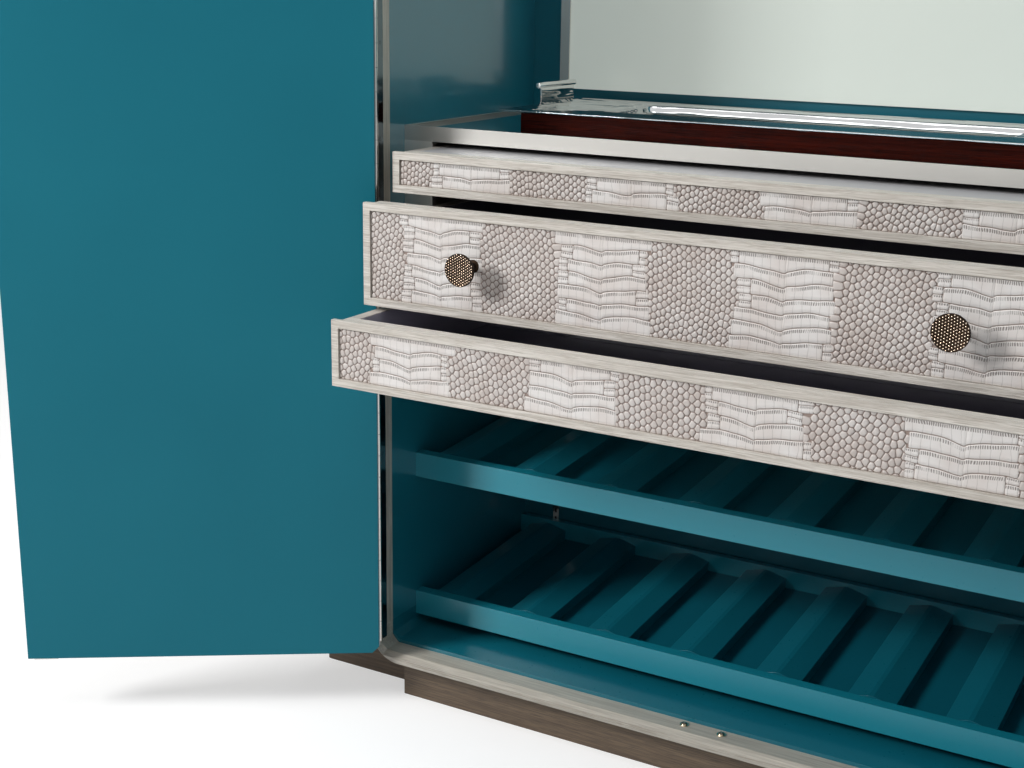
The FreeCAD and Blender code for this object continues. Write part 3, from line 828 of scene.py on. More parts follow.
@dataclass
class HidePanel:
    """Crocodile-embossed panel: round scales in clusters, wide belly scales between them.

    Sizes are in millimetres. The rows of the tables give:
        PILLOW and LOWER_SIDE: the way in from the edge, the share of the full height, the rise.
        UPPER_SIDE: the same, and how near the row is to the scale's brow.
        ENDS: the way in, the share of the height, how far the seams draw together.
        FOLD: the way from the fold, the share of the height.
    """

    PILLOW = ((0.55, 0.42, 0.42), (1.2, 0.88, 0.95), (2.0, 1.0, 1.0))
    LOWER_SIDE = ((0.5, 0.45, 0.5), (1.1, 0.82, 1.0), (4.6, 0.95, 1.0))
    UPPER_SIDE = ((5.4, 0.75, 1.0, 0.0), (3.9, 0.72, 1.0, 0.9), (1.5, 0.98, 1.0, 1.0), (1.0, 1.0, 1.0, 0.0),
                  (0.5, 0.6, 0.5, 0.0))
    ENDS = ((0.0, 0.5, 1.2), (0.5, 0.7, 0.5), (1.1, 0.92, 0.15))
    FOLD = ((-1.3, 1.0), (-0.6, 0.8), (0.0, 0.62), (0.6, 0.8), (1.3, 1.0))

    drawer: str
    seed: int
    first_centre: float
    rows: int
    cluster_count: int = 6
    clusters_before: int = 2
    cluster_pitch: float = 191.0
    cluster_half: float = 45.0
    ragged: float = 4.0
    bulge: float = 6.0
    split_share: float = 0.5
    split_shortest: float = 7.0
    split_longest: float = 15.0
    tuck: float = 0.9
    round_step: float = 5.1
    round_height: float = 7.3
    waver: float = 0.14
    scatter: float = 0.6
    stagger: float = 0.5
    column_wave: float = 0.4
    column_run: float = 4.0
    sway: float = 1.5
    sway_run: float = 19.0
    slant: float = 0.13
    slant_turn: float = 2.1
    crowns: Pair = (0.8, 1.2)
    shades: Pair = (0.3, 0.55)
    least_half: float = 0.4
    least_keep: float = 0.25
    reach: float = 26.0
    nearest: int = 24
    height: float = 1.1
    sink: float = 0.4
    dip: float = 5.0
    dip_level: float = 0.65
    flank: float = 1.35
    swell: float = 0.8
    swell_run: float = 12.0
    swell_turn: float = 1.9
    ripple: float = 0.35
    ripple_run: float = 4.7
    ripple_turn: float = 2.7
    rise_gain: float = 1.6
    rise_loss: float = 0.5
    fold_run: float = 1.2
    fold_half: float = 1.5
    margin: float = 2.0
    shortest: float = 5.0
    full_tall: float = 12.0
    sample: float = 2.2

    def __post_init__(self) -> None:
        """Reads the panel's place from its CAD node and sets out the clusters' ragged edges."""
        self.node = "drawer_" + self.drawer + "_leather"
        low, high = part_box(self.node)
        self.left, self.right = low[0] / MM, high[0] / MM
        self.bottom, self.top = low[2] / MM, high[2] / MM
        self.dice = random.Random(self.seed)
        self.scales = Scales(low[1] / MM)
        first = self.first_centre - self.clusters_before * self.cluster_pitch
        self.clusters = [first + i * self.cluster_pitch for i in range(self.cluster_count)]
        self.edges = {(i, side, row): self.dice.uniform(-1, 1) * self.ragged
                      + self.bulge * (math.sin(math.pi * (row + 0.5) / self.rows) - 0.5)
                      for i in range(self.cluster_count) for side in (-1, 1) for row in range(self.rows)}

    def edge(self, cluster: int, side: int, row: int) -> float:
        """X of a cluster's left or right edge in a belly row."""
        return self.clusters[cluster] + side * (self.cluster_half + self.edges[cluster, side, row])

    def edge_beside(self, cluster: int, side: int, spot: Spot) -> float:
        """Finds a cluster's edge level with a spot.

        Args:
            cluster: the cluster's number.
            side: -1 for its left edge, 1 for its right.
            spot: X and Z.

        Returns:
            The edge's X.
        """
        kink = self.clusters[cluster] + side * self.cluster_pitch / 2
        row = sum(self.seam(spot[0], row, kink) < spot[1] for row in range(1, self.rows))
        return self.edge(cluster, side, row)

    def round_spots(self, cluster: int) -> list[Spot]:
        """Sets out a cluster's round scales in wavering columns.

        Args:
            cluster: the cluster's number.

        Returns:
            The scales' centres.
        """
        spots = []
        columns = round(2 * (self.cluster_half + self.ragged) / self.round_step)
        rows = round((self.top - self.bottom) / self.round_height)
        row = (self.top - self.bottom) / rows
        for column in range(columns + 1):
            x = self.clusters[cluster] + (column - columns / 2) * self.round_step
            drift = self.dice.uniform(-self.waver, self.waver) + self.stagger * (column % 2)
            drift += self.column_wave * math.sin(column / self.column_run + cluster)
            for i in range(-2, rows + 3):
                z = self.bottom + (i + drift + self.dice.uniform(-self.waver, self.waver)) * row
                lean = self.sway * math.sin(z / self.sway_run + cluster)
                lean += self.slant * (z - self.bottom) * math.sin(cluster * self.slant_turn)
                spots.append((x + lean + self.dice.uniform(-self.scatter, self.scatter), z))
        return spots

    def cell(self, spot: Spot, near: list[Spot], window: Spot) -> list[Spot]:
        """Outlines one scale: the points nearer to its centre than to any other.

        Args:
            spot: the scale's centre.
            near: its neighbours, nearest first.
            window: the X range that it may fill.

        Returns:
            The corners of the outline, or none where nothing is left of it.
        """
        x0, x1 = max(self.left, window[0]), min(self.right, window[1])
        outline = [(x0, self.bottom), (x1, self.bottom), (x1, self.top), (x0, self.top)] if x0 < x1 else []
        for other in near:
            nx, nz = other[0] - spot[0], other[1] - spot[1]
            limit = nx * (other[0] + spot[0]) / 2 + nz * (other[1] + spot[1]) / 2
            kept: list[Spot] = []
            for i, (x0, z0) in enumerate(outline):
                x1, z1 = outline[(i + 1) % len(outline)]
                d0, d1 = nx * x0 + nz * z0 - limit, nx * x1 + nz * z1 - limit
                if d0 <= 0:
                    kept.append((x0, z0))
                if (d0 < 0) != (d1 < 0) and d0 != d1:
                    share = d0 / (d0 - d1)
                    kept.append((x0 + share * (x1 - x0), z0 + share * (z1 - z0)))
            outline = kept
            if len(outline) < 3:
                return []
        return outline

    def pillow(self, outline: list[Spot]) -> None:
        """Raises one round scale.

        Args:
            outline: the corners of its foot.
        """
        cx = sum(x for x, _ in outline) / len(outline)
        cz = sum(z for _, z in outline) / len(outline)
        half = min(max(abs(x - cx) for x, _ in outline), max(abs(z - cz) for _, z in outline))
        half = max(self.least_half, half)
        crown = self.height * self.dice.uniform(*self.crowns)
        steps = [(0.0, self.sink, 0.0), (0.0, 0.0, 0.0)]
        steps += [(inset, -share * crown, rise) for inset, share, rise in self.PILLOW]
        loops = []
        for inset, depth, rise in steps:
            keep = max(self.least_keep, 1 - inset / half)
            loops.append([(cx + (x - cx) * keep, cz + (z - cz) * keep, depth, rise, 0.0) for x, z in outline])
        self.scales.add(loops, shade=self.dice.uniform(*self.shades), belly=0.0)

    def round_scales(self, cluster: int) -> None:
        """Raises a cluster's round scales.

        Args:
            cluster: the cluster's number.
        """
        spots = self.round_spots(cluster)
        for spot in spots:
            left, right = (self.edge_beside(cluster, side, spot) for side in (-1, 1))
            near = [s for s in spots if s is not spot and abs(s[0] - spot[0]) < self.reach
                    and abs(s[1] - spot[1]) < self.reach]
            near.sort(key=lambda s: (s[0] - spot[0]) ** 2 + (s[1] - spot[1]) ** 2)
            outline = self.cell(spot, near[:self.nearest], (left - self.tuck, right + self.tuck))
            if len(outline) >= 3:
                self.pillow(outline)

    def seam(self, x: float, row: float, kink: float) -> float:
        """Finds the height of a seam, which dips towards the fold at its zone's middle.

        Args:
            x: where along the panel.
            row: the belly row above the seam, or half a row more for a split one.
            kink: X of the fold.

        Returns:
            The seam's Z.
        """
        if row <= 0 or row >= self.rows:
            return self.bottom if row <= 0 else self.top
        level = self.bottom + (self.top - self.bottom) * row / self.rows
        away = min(1.0, self.flank * abs(x - kink) / (self.cluster_pitch / 2 - self.cluster_half))
        sag = self.dip * (math.sin(math.pi / 2 * away) - self.dip_level)
        wave = self.swell * math.sin(x / self.swell_run + row * self.swell_turn)
        wave += self.ripple * math.sin(x / self.ripple_run + row * self.ripple_turn)
        return level + sag + wave + math.tanh((x - kink) / self.fold_run)

    def stations(self, x0: float, x1: float, kink: float) -> list[Triple]:
        """Sets out where a belly scale has its sections.

        Args:
            x0: its left end.
            x1: its right end.
            kink: X of the fold across the zone's middle.

        Returns:
            Each section's X, its share of the full height and how far its seams draw together.
        """
        run = x1 - x0 - 2 * self.margin
        steps = max(2, round(run / self.sample))
        inner = [(x0 + self.margin + run * i / steps, 1.0, 0.0) for i in range(steps + 1)]
        if x0 + 2 * self.margin < kink < x1 - 2 * self.margin:
            inner = [s for s in inner if abs(s[0] - kink) > self.fold_half]
            inner += [(kink + away, full, 0.0) for away, full in self.FOLD]
        left = [(x0 + way, full, pinch) for way, full, pinch in self.ENDS]
        right = [(x1 - way, full, pinch) for way, full, pinch in self.ENDS[::-1]]
        return left + sorted(inner) + right

    def section(self, x: float, low: float, high: float, full: float) -> list[tuple[float, ...]]:
        """Draws a belly scale's section from its lower seam over its back to its upper seam.

        Args:
            x: where along the panel.
            low: Z of the lower seam.
            high: Z of the upper seam.
            full: the section's share of the full height.

        Returns:
            X, Z, depth, rise and brow of each point.
        """
        rise = max(0.0, min(1.0, self.rise_gain * full - self.rise_loss))
        crown = self.height * full
        tall = min(1.0, (high - low) / self.full_tall)
        loop = [(x, low, self.sink, 0.0, 0.0), (x, low, 0.0, 0.0, 0.0)]
        loop += [(x, low + inset * tall, -share * crown, min(rise, tone), 0.0)
                 for inset, share, tone in self.LOWER_SIDE]
        loop += [(x, high - inset * tall, -share * crown, min(rise, tone), brow * full)
                 for inset, share, tone, brow in self.UPPER_SIDE]
        return loop + [(x, high, 0.0, 0.0, 0.0), (x, high, self.sink, 0.0, 0.0)]

    def belly_scale(self, x0: float, x1: float, row0: float, row1: float, kink: float) -> None:
        """Raises one long belly scale.

        Args:
            x0: its left end.
            x1: its right end.
            row0: the row of its lower seam.
            row1: the row of its upper seam.
            kink: X of the fold across the zone's middle.
        """
        x0, x1 = max(x0, self.left), min(x1, self.right)
        if x1 - x0 < self.shortest:
            return
        loops = []
        for x, full, pinch in self.stations(x0, x1, kink):
            low, high = self.seam(x, row0, kink) + pinch, self.seam(x, row1, kink) - pinch
            loops.append(self.section(x, low, high, full))
        self.scales.add(loops, shade=0.0, belly=1.0)

    def belly_zone(self, cluster: int) -> None:
        """Fills the zone to the right of a cluster with belly scales, some split at their ends.

        Args:
            cluster: the cluster's number.
        """
        kink = self.clusters[cluster] + self.cluster_pitch / 2
        for row in range(self.rows):
            x0, x1 = self.edge(cluster, 1, row), self.edge(cluster + 1, -1, row)
            for way in (1, -1):
                if self.dice.random() > self.split_share:
                    continue
                cut = self.dice.uniform(self.split_shortest, self.split_longest)
                end = (x0, x0 + cut) if way == 1 else (x1 - cut, x1)
                self.belly_scale(*end, row, row + 0.5, kink)
                self.belly_scale(*end, row + 0.5, row + 1, kink)
                x0, x1 = (x0 + cut, x1) if way == 1 else (x0, x1 - cut)
            self.belly_scale(x0, x1, row, row + 1, kink)

    def build(self, finishes: Finishes) -> None:
        """Raises every scale on the leather board.

        Args:
            finishes: the cabinet's materials.
        """
        for cluster in range(self.cluster_count):
            self.round_scales(cluster)
            if cluster + 1 < self.cluster_count:
                self.belly_zone(cluster)
        mesh = mesh_of(self.node + "_scales", self.scales.points, self.scales.faces)
        for name, values in self.scales.facts.items():
            mesh.attributes.new(name, "FLOAT", "POINT").data.foreach_set("value", values)
        place(self.node + "_scales", mesh, "drawer_" + self.drawer, "leather", finishes.hide)
        dress(finishes.hide, self.node)


class NodeForm:
    """A Geometry Nodes tree that is built here and turned into a plain mesh."""

    def __init__(self, name: str) -> None:
        """Starts a tree with its group input and output.

        Args:
            name: the tree's name.
        """
        self.name = name
        self.tree = bpy.data.node_groups.new(name, "GeometryNodeTree")
        for way in ("INPUT", "OUTPUT"):
            self.tree.interface.new_socket("Geometry", in_out=way, socket_type="NodeSocketGeometry")
        self.entry = self.tree.nodes.new("NodeGroupInput")
        self.exit = self.tree.nodes.new("NodeGroupOutput")
        self.values: dict[str, float] = {}

    def sizes(self, **values: float) -> list[Socket]:
        """Adds named inputs to the tree.

        Args:
            values: each input's value: a count where it is a whole number, else millimetres.

        Returns:
            The inputs' sockets.
        """
        for name, value in values.items():
            count = isinstance(value, int)
            kind = "NodeSocketInt" if count else "NodeSocketFloat"
            socket = self.tree.interface.new_socket(name, in_out="INPUT", socket_type=kind)
            self.values[socket.identifier] = value if count else value * MM
        return [self.entry.outputs[name] for name in values]

    def node(self, kind: str, inputs: dict[str | int, object], **settings: object) -> bpy.types.Node:
        """Adds a node, sets it up and feeds its inputs.

        Args:
            kind: the node's Blender type.
            inputs: a socket or a plain value for each input, by name or number.
            settings: the node's own properties.

        Returns:
            The node.
        """
        node = self.tree.nodes.new(kind)
        for name, value in settings.items():
            setattr(node, name, value)
        for key, value in inputs.items():
            if isinstance(value, bpy.types.NodeSocket):
                self.tree.links.new(value, node.inputs[key])
            else:
                node.inputs[key].default_value = value
        return node

    def vector(self, x: object = 0.0, y: object = 0.0, z: object = 0.0) -> Socket:
        """Three numbers or sockets as one vector."""
        return self.node("ShaderNodeCombineXYZ", {0: x, 1: y, 2: z}).outputs[0]

    def math(self, operation: str, first: object, second: object = 0.0) -> Socket:
        """A math node on two numbers or sockets."""
        return self.node("ShaderNodeMath", {0: first, 1: second}, operation=operation).outputs[0]

    def times(self, first: object, second: object) -> Socket:
        """Two numbers or sockets multiplied."""
        return self.math("MULTIPLY", first, second)

    def moved(self, geometry: Socket, shift: Socket) -> Socket:
        """The geometry moved by a vector."""
        return self.node("GeometryNodeTransform", {"Geometry": geometry, "Translation": shift}).outputs[0]

    def spread(self, points: Socket, form: Socket, turn: Triple = ZERO) -> Socket:
        """A copy of a form on every point, each turned."""
        return self.node("GeometryNodeInstanceOnPoints",
                         {"Points": points, "Instance": form, "Rotation": turn}).outputs[0]

    def row(self, count: Socket, step: Socket, form: Socket, turn: Triple = ZERO) -> Socket:
        """Copies of a form along a line, a step apart and each turned."""
        line = self.node("GeometryNodeMeshLine", {"Count": count, "Offset": step}, mode="OFFSET")
        return self.spread(line.outputs[0], form, turn)

    def mesh(self, geometry: Socket, material: Material, start: Triple = ZERO) -> Mesh:
        """Turns the tree's result into a plain mesh.

        Args:
            geometry: the result.
            material: its material.
            start: where its origin goes, in millimetres.

        Returns:
            The mesh.
        """
        real = self.node("GeometryNodeRealizeInstances", {0: geometry})
        paint = self.node("GeometryNodeSetMaterial", {"Geometry": real.outputs[0], "Material": material})
        self.tree.links.new(paint.outputs[0], self.exit.inputs[0])
        holder = bpy.data.objects.new(self.name, bpy.data.meshes.new(self.name))
        bpy.context.scene.collection.objects.link(holder)
        modifier = holder.modifiers.new(self.name, "NODES")
        modifier.node_group = self.tree
        for identifier, value in self.values.items():
            modifier[identifier] = value
        graph = bpy.context.evaluated_depsgraph_get()
        result = bpy.data.meshes.new_from_object(holder.evaluated_get(graph))
        holder.modifiers.clear()
        bpy.data.objects.remove(holder)
        result.transform(Matrix.Translation(Vector(start) * MM))
        return result


@dataclass
class Knobs:
    """Turned bronze knobs with a dished face covered in small raised dots. Sizes are in millimetres."""

    radius: float = 17.5
    rim: float = 0.45
    edge: float = 3.0
    dish: float = 2.2
    face_margin: float = 1.2
    face_drop: float = 0.3
    face_steps: int = 7
    neck: float = 4.5
    neck_foot: float = 1.2
    neck_flare: tuple[Spot, ...] = ((0.0, 2.5), (1.0, 0.6), (3.0, 0.0))
    base: float = 7.0
    base_height: float = 1.5
    projection: float = 30.0
    dot_margin: float = 1.0
    dot_pitch: float = 2.95
    dot_radius: float = 0.82
    dot_rows: int = 13
    row_squeeze: float = 0.87
    segments: int = 64
    crease: float = 50.0
    door_turn: float = 146.0
    tolerance: float = 0.1

    def profile(self) -> list[Spot]:
        """Draws half the knob's section, from the seat's centre round to the face's centre.

        Returns:
            Radius and height above the seat at each corner.
        """
        back = self.projection - self.edge
        line = [(0.0, 0.0), (self.base, 0.0), (self.base, self.base_height - self.rim),
                (self.base - self.rim, self.base_height), (self.neck, self.base_height + self.neck_foot)]
        line += [(self.neck + out, back - below) for out, below in self.neck_flare]
        line += [(self.radius - self.rim, back), (self.radius, back + self.rim),
                 (self.radius, back + self.edge - self.rim), (self.radius - self.rim, back + self.edge)]
        for i in range(1, self.face_steps + 1):
            share = 1 - i / self.face_steps
            line.append(((self.radius - self.face_margin) * share,
                         self.projection - self.face_drop - self.dish * (1 - share ** 2)))
        return line

    def turned(self) -> Mesh:
        """Turns the section into the knob without its dots, standing up from its seat along Z.

        Returns:
            The mesh.
        """
        points: list[Vector] = []
        faces: Faces = []
        rings: list[list[int]] = []
        for radius, height in self.profile():
            count = self.segments if radius > 0 else 1
            rings.append(list(range(len(points), len(points) + count)))
            for i in range(count):
                angle = 2 * math.pi * i / count
                points.append(Vector((radius * math.cos(angle), radius * math.sin(angle), height)) * MM)
        for low, high in zip(rings, rings[1:]):
            for i in range(self.segments):
                j = (i + 1) % self.segments
                corners = [low[i % len(low)], low[j % len(low)], high[j % len(high)], high[i % len(high)]]
                faces.append(list(dict.fromkeys(corners)))
        return creased(mesh_of("knob", points, faces), self.crease)

    def dots(self, material: Material) -> Mesh:
        """Raises dots in staggered rows over the dished face.

        Args:
            material: the dots' material.

        Returns:
            The mesh.
        """
        form = NodeForm("knob_dots")
        pitch, dish, radius, dot, rows, height = form.sizes(
            pitch=self.dot_pitch, dish=self.dish, face_radius=self.radius - self.dot_margin,
            dot_radius=self.dot_radius, rows=self.dot_rows,
            height=self.projection - self.dish - self.face_drop)
        gaps = form.math("SUBTRACT", rows, 1.0)
        up, across = form.times(form.times(pitch, self.row_squeeze), gaps), form.times(pitch, gaps)
        grid = form.node("GeometryNodeMeshGrid", {"Size X": up, "Size Y": across, "Vertices X": rows,
                                                  "Vertices Y": rows})
        index = form.node("GeometryNodeInputIndex", {}).outputs[0]
        line = form.math("FLOOR", form.math("DIVIDE", index, rows))
        stagger = form.times(form.math("MODULO", line, 2.0), form.times(pitch, 0.5))
        placed = form.node("GeometryNodeSetPosition", {"Geometry": grid.outputs[0],
                                                       "Offset": form.vector(y=stagger)})
        spot = form.node("GeometryNodeInputPosition", {}).outputs[0]
        away = form.node("ShaderNodeVectorMath", {0: spot}, operation="LENGTH").outputs["Value"]
        share = form.math("DIVIDE", away, radius)
        depth = form.math("ADD", height, form.times(dish, form.times(share, share)))
        inside = form.node("GeometryNodeDeleteGeometry", {"Geometry": placed.outputs[0],
                                                          "Selection": form.math("GREATER_THAN", share, 1.0)})
        raised = form.node("GeometryNodeSetPosition", {"Geometry": inside.outputs[0],
                                                       "Offset": form.vector(z=depth)})
        ball = form.node("GeometryNodeMeshIcoSphere", {"Radius": dot, "Subdivisions": 2})
        return form.mesh(form.spread(raised.outputs[0], ball.outputs[0]), material)

    def seat(self, node: str, way: Vector, side: Side) -> Matrix:
        """Finds a knob's place on its CAD node.

        Args:
            node: the CAD node.
            way: the direction that the knob's face looks.
            side: the side of the cabinet that it is on.

        Returns:
            The turn and the place of a knob that stands up along Z.
        """
        corners = [v.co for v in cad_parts[node].data.vertices if v.co.x * side.value > 0]
        reach = max(c.dot(way) for c in corners)
        crown = [c for c in corners if c.dot(way) > reach - self.tolerance * MM]
        tip = sum(crown, Vector()) / len(crown)
        foot = tip - way * self.projection * MM
        level = Vector((0.0, 0.0, 1.0)).cross(way).normalized()
        return Matrix.Translation(foot) @ Matrix((level, way.cross(level), way)).transposed().to_4x4()

    def way(self, body: str, side: Side) -> Vector:
        """Finds the direction that a knob's face looks.

        Args:
            body: the CAD body that the knob is on.
            side: the side of the cabinet that it is on.

        Returns:
            The direction, of length 1.
        """
        if body == "drawer_middle":
            return Vector((0.0, -1.0, 0.0))
        turn = math.radians(self.door_turn)
        return Vector((side.value * math.sin(turn), -math.cos(turn), 0.0))

    def build(self, finishes: Finishes) -> None:
        """Makes the two knobs of the middle drawer and one on each door.

        Args:
            finishes: the cabinet's materials.
        """
        plain, dots = self.turned(), self.dots(finishes.dots)
        for node, body, sides in (("drawer_knobs", "drawer_middle", tuple(Side)),
                                  ("door_left_knob", "door_left", (Side.LEFT,)),
                                  ("door_right_knob", "door_right", (Side.RIGHT,))):
            for source, ending, material in ((plain, "_turned", finishes.bronze),
                                             (dots, "_dots", finishes.dots)):
                shells = bmesh.new()
                for side in sides:
                    copy = source.copy()
                    copy.transform(self.seat(node, self.way(body, side), side))
                    shells.from_mesh(copy)
                mesh = bpy.data.meshes.new(node + ending)
                shells.to_mesh(mesh)
                shells.free()
                piece = place(node + ending, mesh, body, "knob_metal", material)
                if source is plain:
                    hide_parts(node)


@dataclass
class PianoHinge:
    """Screws and knuckles of one continuous hinge. Sizes are in millimetres."""

    side: Side
    leaf_face: float = 419.5
    axis_x: float = 418.5
    axis_y: float = -205.0
    low: float = 79.0
    high: float = 1475.8
    screw_y: float = -195.5
    screw_pitch: float = 53.0
    screw_radius: float = 2.6
    screw_height: float = 0.7
    screw_taper: float = 0.78
    cross_length: float = 3.0
    cross_width: float = 0.7
    knuckle_pitch: float = 26.5
    knuckle_gap: float = 0.5
    knuckle_radius: float = 2.7
    round_steps: int = 24
    crease: float = 40.0

    def screws(self, finishes: Finishes) -> None:
        """Sets countersunk screws with a cross recess down the frame leaf.

        Args:
            finishes: the cabinet's materials.
        """
        form = NodeForm("hinge_screws_" + self.side.word)
        count, pitch, radius, height, long, wide = form.sizes(
            count=int((self.high - self.low) / self.screw_pitch), pitch=self.screw_pitch,
            radius=self.screw_radius, height=self.screw_height, cross_length=self.cross_length,
            cross_width=self.cross_width)
        head = form.node("GeometryNodeMeshCone", {
            "Vertices": self.round_steps, "Radius Top": form.times(radius, self.screw_taper),
            "Radius Bottom": radius, "Depth": height}).outputs[0]
        cross = form.node("GeometryNodeMeshBoolean", {}, operation="DIFFERENCE")
        form.tree.links.new(head, cross.inputs["Mesh 1"])
        for size in ((long, wide, height), (wide, long, height)):
            bar = form.node("GeometryNodeMeshCube", {"Size": form.vector(*size)}).outputs[0]
            form.tree.links.new(form.moved(bar, form.vector(z=height)), cross.inputs["Mesh 2"])
        turn = (0.0, -math.pi / 2 * self.side.value, 0.0)
        start = (self.side.value * self.leaf_face, self.screw_y, self.low + self.screw_pitch / 2)
        screws = form.row(count, form.vector(z=pitch), cross.outputs[0], turn)
        mesh = form.mesh(screws, finishes.nickel, start)
        piece = place("piano_hinge_screws_" + self.side.word, mesh, "case", "bright_metal", smooth=False)
        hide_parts("hinge_screws")

    def knuckles(self, finishes: Finishes) -> None:
        """Sets fine knuckles along the barrel.

        Args:
            finishes: the cabinet's materials.
        """
        form = NodeForm("hinge_knuckles_" + self.side.word)
        count, pitch, radius, length = form.sizes(
            count=int((self.high - self.low) / self.knuckle_pitch), pitch=self.knuckle_pitch,
            radius=self.knuckle_radius, length=self.knuckle_pitch - self.knuckle_gap)
        roll = form.node("GeometryNodeMeshCylinder", {"Vertices": self.round_steps, "Radius": radius,
                                                      "Depth": length}).outputs[0]
        start = (self.side.value * self.axis_x, self.axis_y, self.low + self.knuckle_pitch / 2)
        mesh = form.mesh(form.row(count, form.vector(z=pitch), roll), finishes.nickel, start)
        place("piano_hinge_knuckles_" + self.side.word, creased(mesh, self.crease), "case", "bright_metal")

    def build(self, finishes: Finishes) -> None:
        """Makes the hinge's repeated parts."""
        self.screws(finishes)
        self.knuckles(finishes)


@dataclass
class ShelfStandards:
    """Slots down the two shelf standards. Sizes are in millimetres."""

    centre_x: float = 369.5
    low: float = 71.0
    high: float = 418.0
    face_y: float = 156.0
    slot_pitch: float = 12.5
    slot_length: float = 7.0
    slot_width: float = 2.4
    slot_depth: float = 0.3
    round_steps: int = 16

    def build(self, finishes: Finishes) -> None:
        """Makes the slots as thin dark rounded discs, their colour painted shade in place of holes.

        Args:
            finishes: the cabinet's materials.
        """
        for side in Side:
            form = NodeForm("standard_slots_" + side.word)
            count, pitch, radius, depth, half = form.sizes(
                count=int((self.high - self.low) / self.slot_pitch) - 1, pitch=self.slot_pitch,
                radius=self.slot_width / 2, depth=self.slot_depth,
                half_length=(self.slot_length - self.slot_width) / 2)
            end = form.node("GeometryNodeMeshCylinder", {"Vertices": self.round_steps, "Radius": radius,
                                                         "Depth": depth}).outputs[0]
            both = form.node("GeometryNodeJoinGeometry", {})
            for way in (1.0, -1.0):
                shift = form.vector(y=form.times(half, way))
                form.tree.links.new(form.moved(end, shift), both.inputs[0])
            slot = form.node("GeometryNodeConvexHull", {0: both.outputs[0]}).outputs[0]
            start = (side.value * self.centre_x, self.face_y, self.low + self.slot_pitch)
            upright = form.row(count, form.vector(z=pitch), slot, (math.pi / 2, 0.0, 0.0))
            place("standard_slots_" + side.word, form.mesh(upright, finishes.recess, start), "case",
                  "bright_metal", smooth=False)


@dataclass
class RackInsert:
    """Sloping floor of a bottle rack with its gable ridges. Sizes are in millimetres."""

    rack: str
    tray_low: float
    tray_floor: float = 11.5
    front_y: float = -103.4
    back_y: float = 146.8
    back_rise: float = 13.5
    end_x: float = 419.6
    skin: float = 0.15
    ridge_pitch: float = 107.4
    ridge_count: int = 8
    ridge_width: float = 54.0
    shoulder: float = 13.0
    crest: float = 19.0
    crest_land: float = 5.0

    def prism(self, name: str, outline: list[Spot], level: bool) -> Mesh:
        """Draws an outline out from front to back, its top rising with the floor.

        Args:
            name: the mesh's name.
            outline: corners in X and height, the first two on the underside.
            level: whether the underside stays level.

        Returns:
            The mesh.
        """
        count = len(outline)
        points = []
        for y, rise in ((self.front_y, 0.0), (self.back_y, self.back_rise)):
            for i, (x, z) in enumerate(outline):
                lift = 0.0 if level and i < 2 else rise
                points.append(Vector((x, y, self.tray_low + self.tray_floor + z + lift)) * MM)
        return mesh_of(name, points, loft_faces(1, count, 0))

    def build(self, finishes: Finishes) -> None:
        """Makes the floor and repeats the ridge along it.

        Args:
            finishes: the cabinet's materials.
        """
        end, half, land = self.end_x, self.ridge_width / 2, self.crest_land / 2
        floor = self.prism(self.rack + "_floor", [
            (-end, 0.0), (end, 0.0), (end, self.skin), (-end, self.skin)], level=True)
        gable = self.prism(self.rack + "_gable", [
            (-half, 0.0), (half, 0.0), (half, self.shoulder), (land, self.crest), (-land, self.crest),
            (-half, self.shoulder)], level=False)
        pattern = bpy.data.objects.new(self.rack + "_gable", gable)
        bpy.context.scene.collection.objects.link(pattern)
        form = NodeForm(self.rack + "_ridges")
        count, pitch = form.sizes(count=self.ridge_count, pitch=self.ridge_pitch)
        ridge = form.node("GeometryNodeObjectInfo", {"Object": pattern}).outputs["Geometry"]
        start = (-self.ridge_pitch * (self.ridge_count - 1) / 2, 0.0, 0.0)
        mesh = form.mesh(form.row(count, form.vector(x=pitch), ridge), finishes.teal, start)
        bpy.data.objects.remove(pattern)
        ridges = place(self.rack + "_sloping_ridges", mesh, "case", "teal_lacquer", smooth=False)
        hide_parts(self.rack + "_ridges")
        # The rack floor wears the darker teal copy, which is painted shade.
        place(self.rack + "_sloping_floor", floor, "case", "teal_lacquer", finishes.teal_painted_shade, smooth=False)


@dataclass(frozen=True)
class RoundedBox:
    """Rounded rectangle seen from above, centred on X. Sizes are in millimetres."""

    half: float
    front: float
    back: float
    corner: float
    least_corner: float = 0.5
    corner_steps: int = 8

    def ring(self, inset: float, z: float) -> list[Vector]:
        """Draws the rectangle smaller by an inset.

        Args:
            inset: how far inside the outline.
            z: its height.

        Returns:
            The points, in metres.
        """
        half, front, back = self.half - inset, self.front + inset, self.back - inset
        corner = max(self.least_corner, self.corner - inset)
        points = []
        for quarter, (way, y) in enumerate(((1, back), (-1, back), (-1, front), (1, front))):
            cx = way * (half - corner)
            cy = y - corner if y == back else y + corner
            for i in range(self.corner_steps + 1):
                angle = math.pi / 2 * (quarter + i / self.corner_steps)
                points.append(Vector((cx + corner * math.cos(angle), cy + corner * math.sin(angle), z)) * MM)
        return points


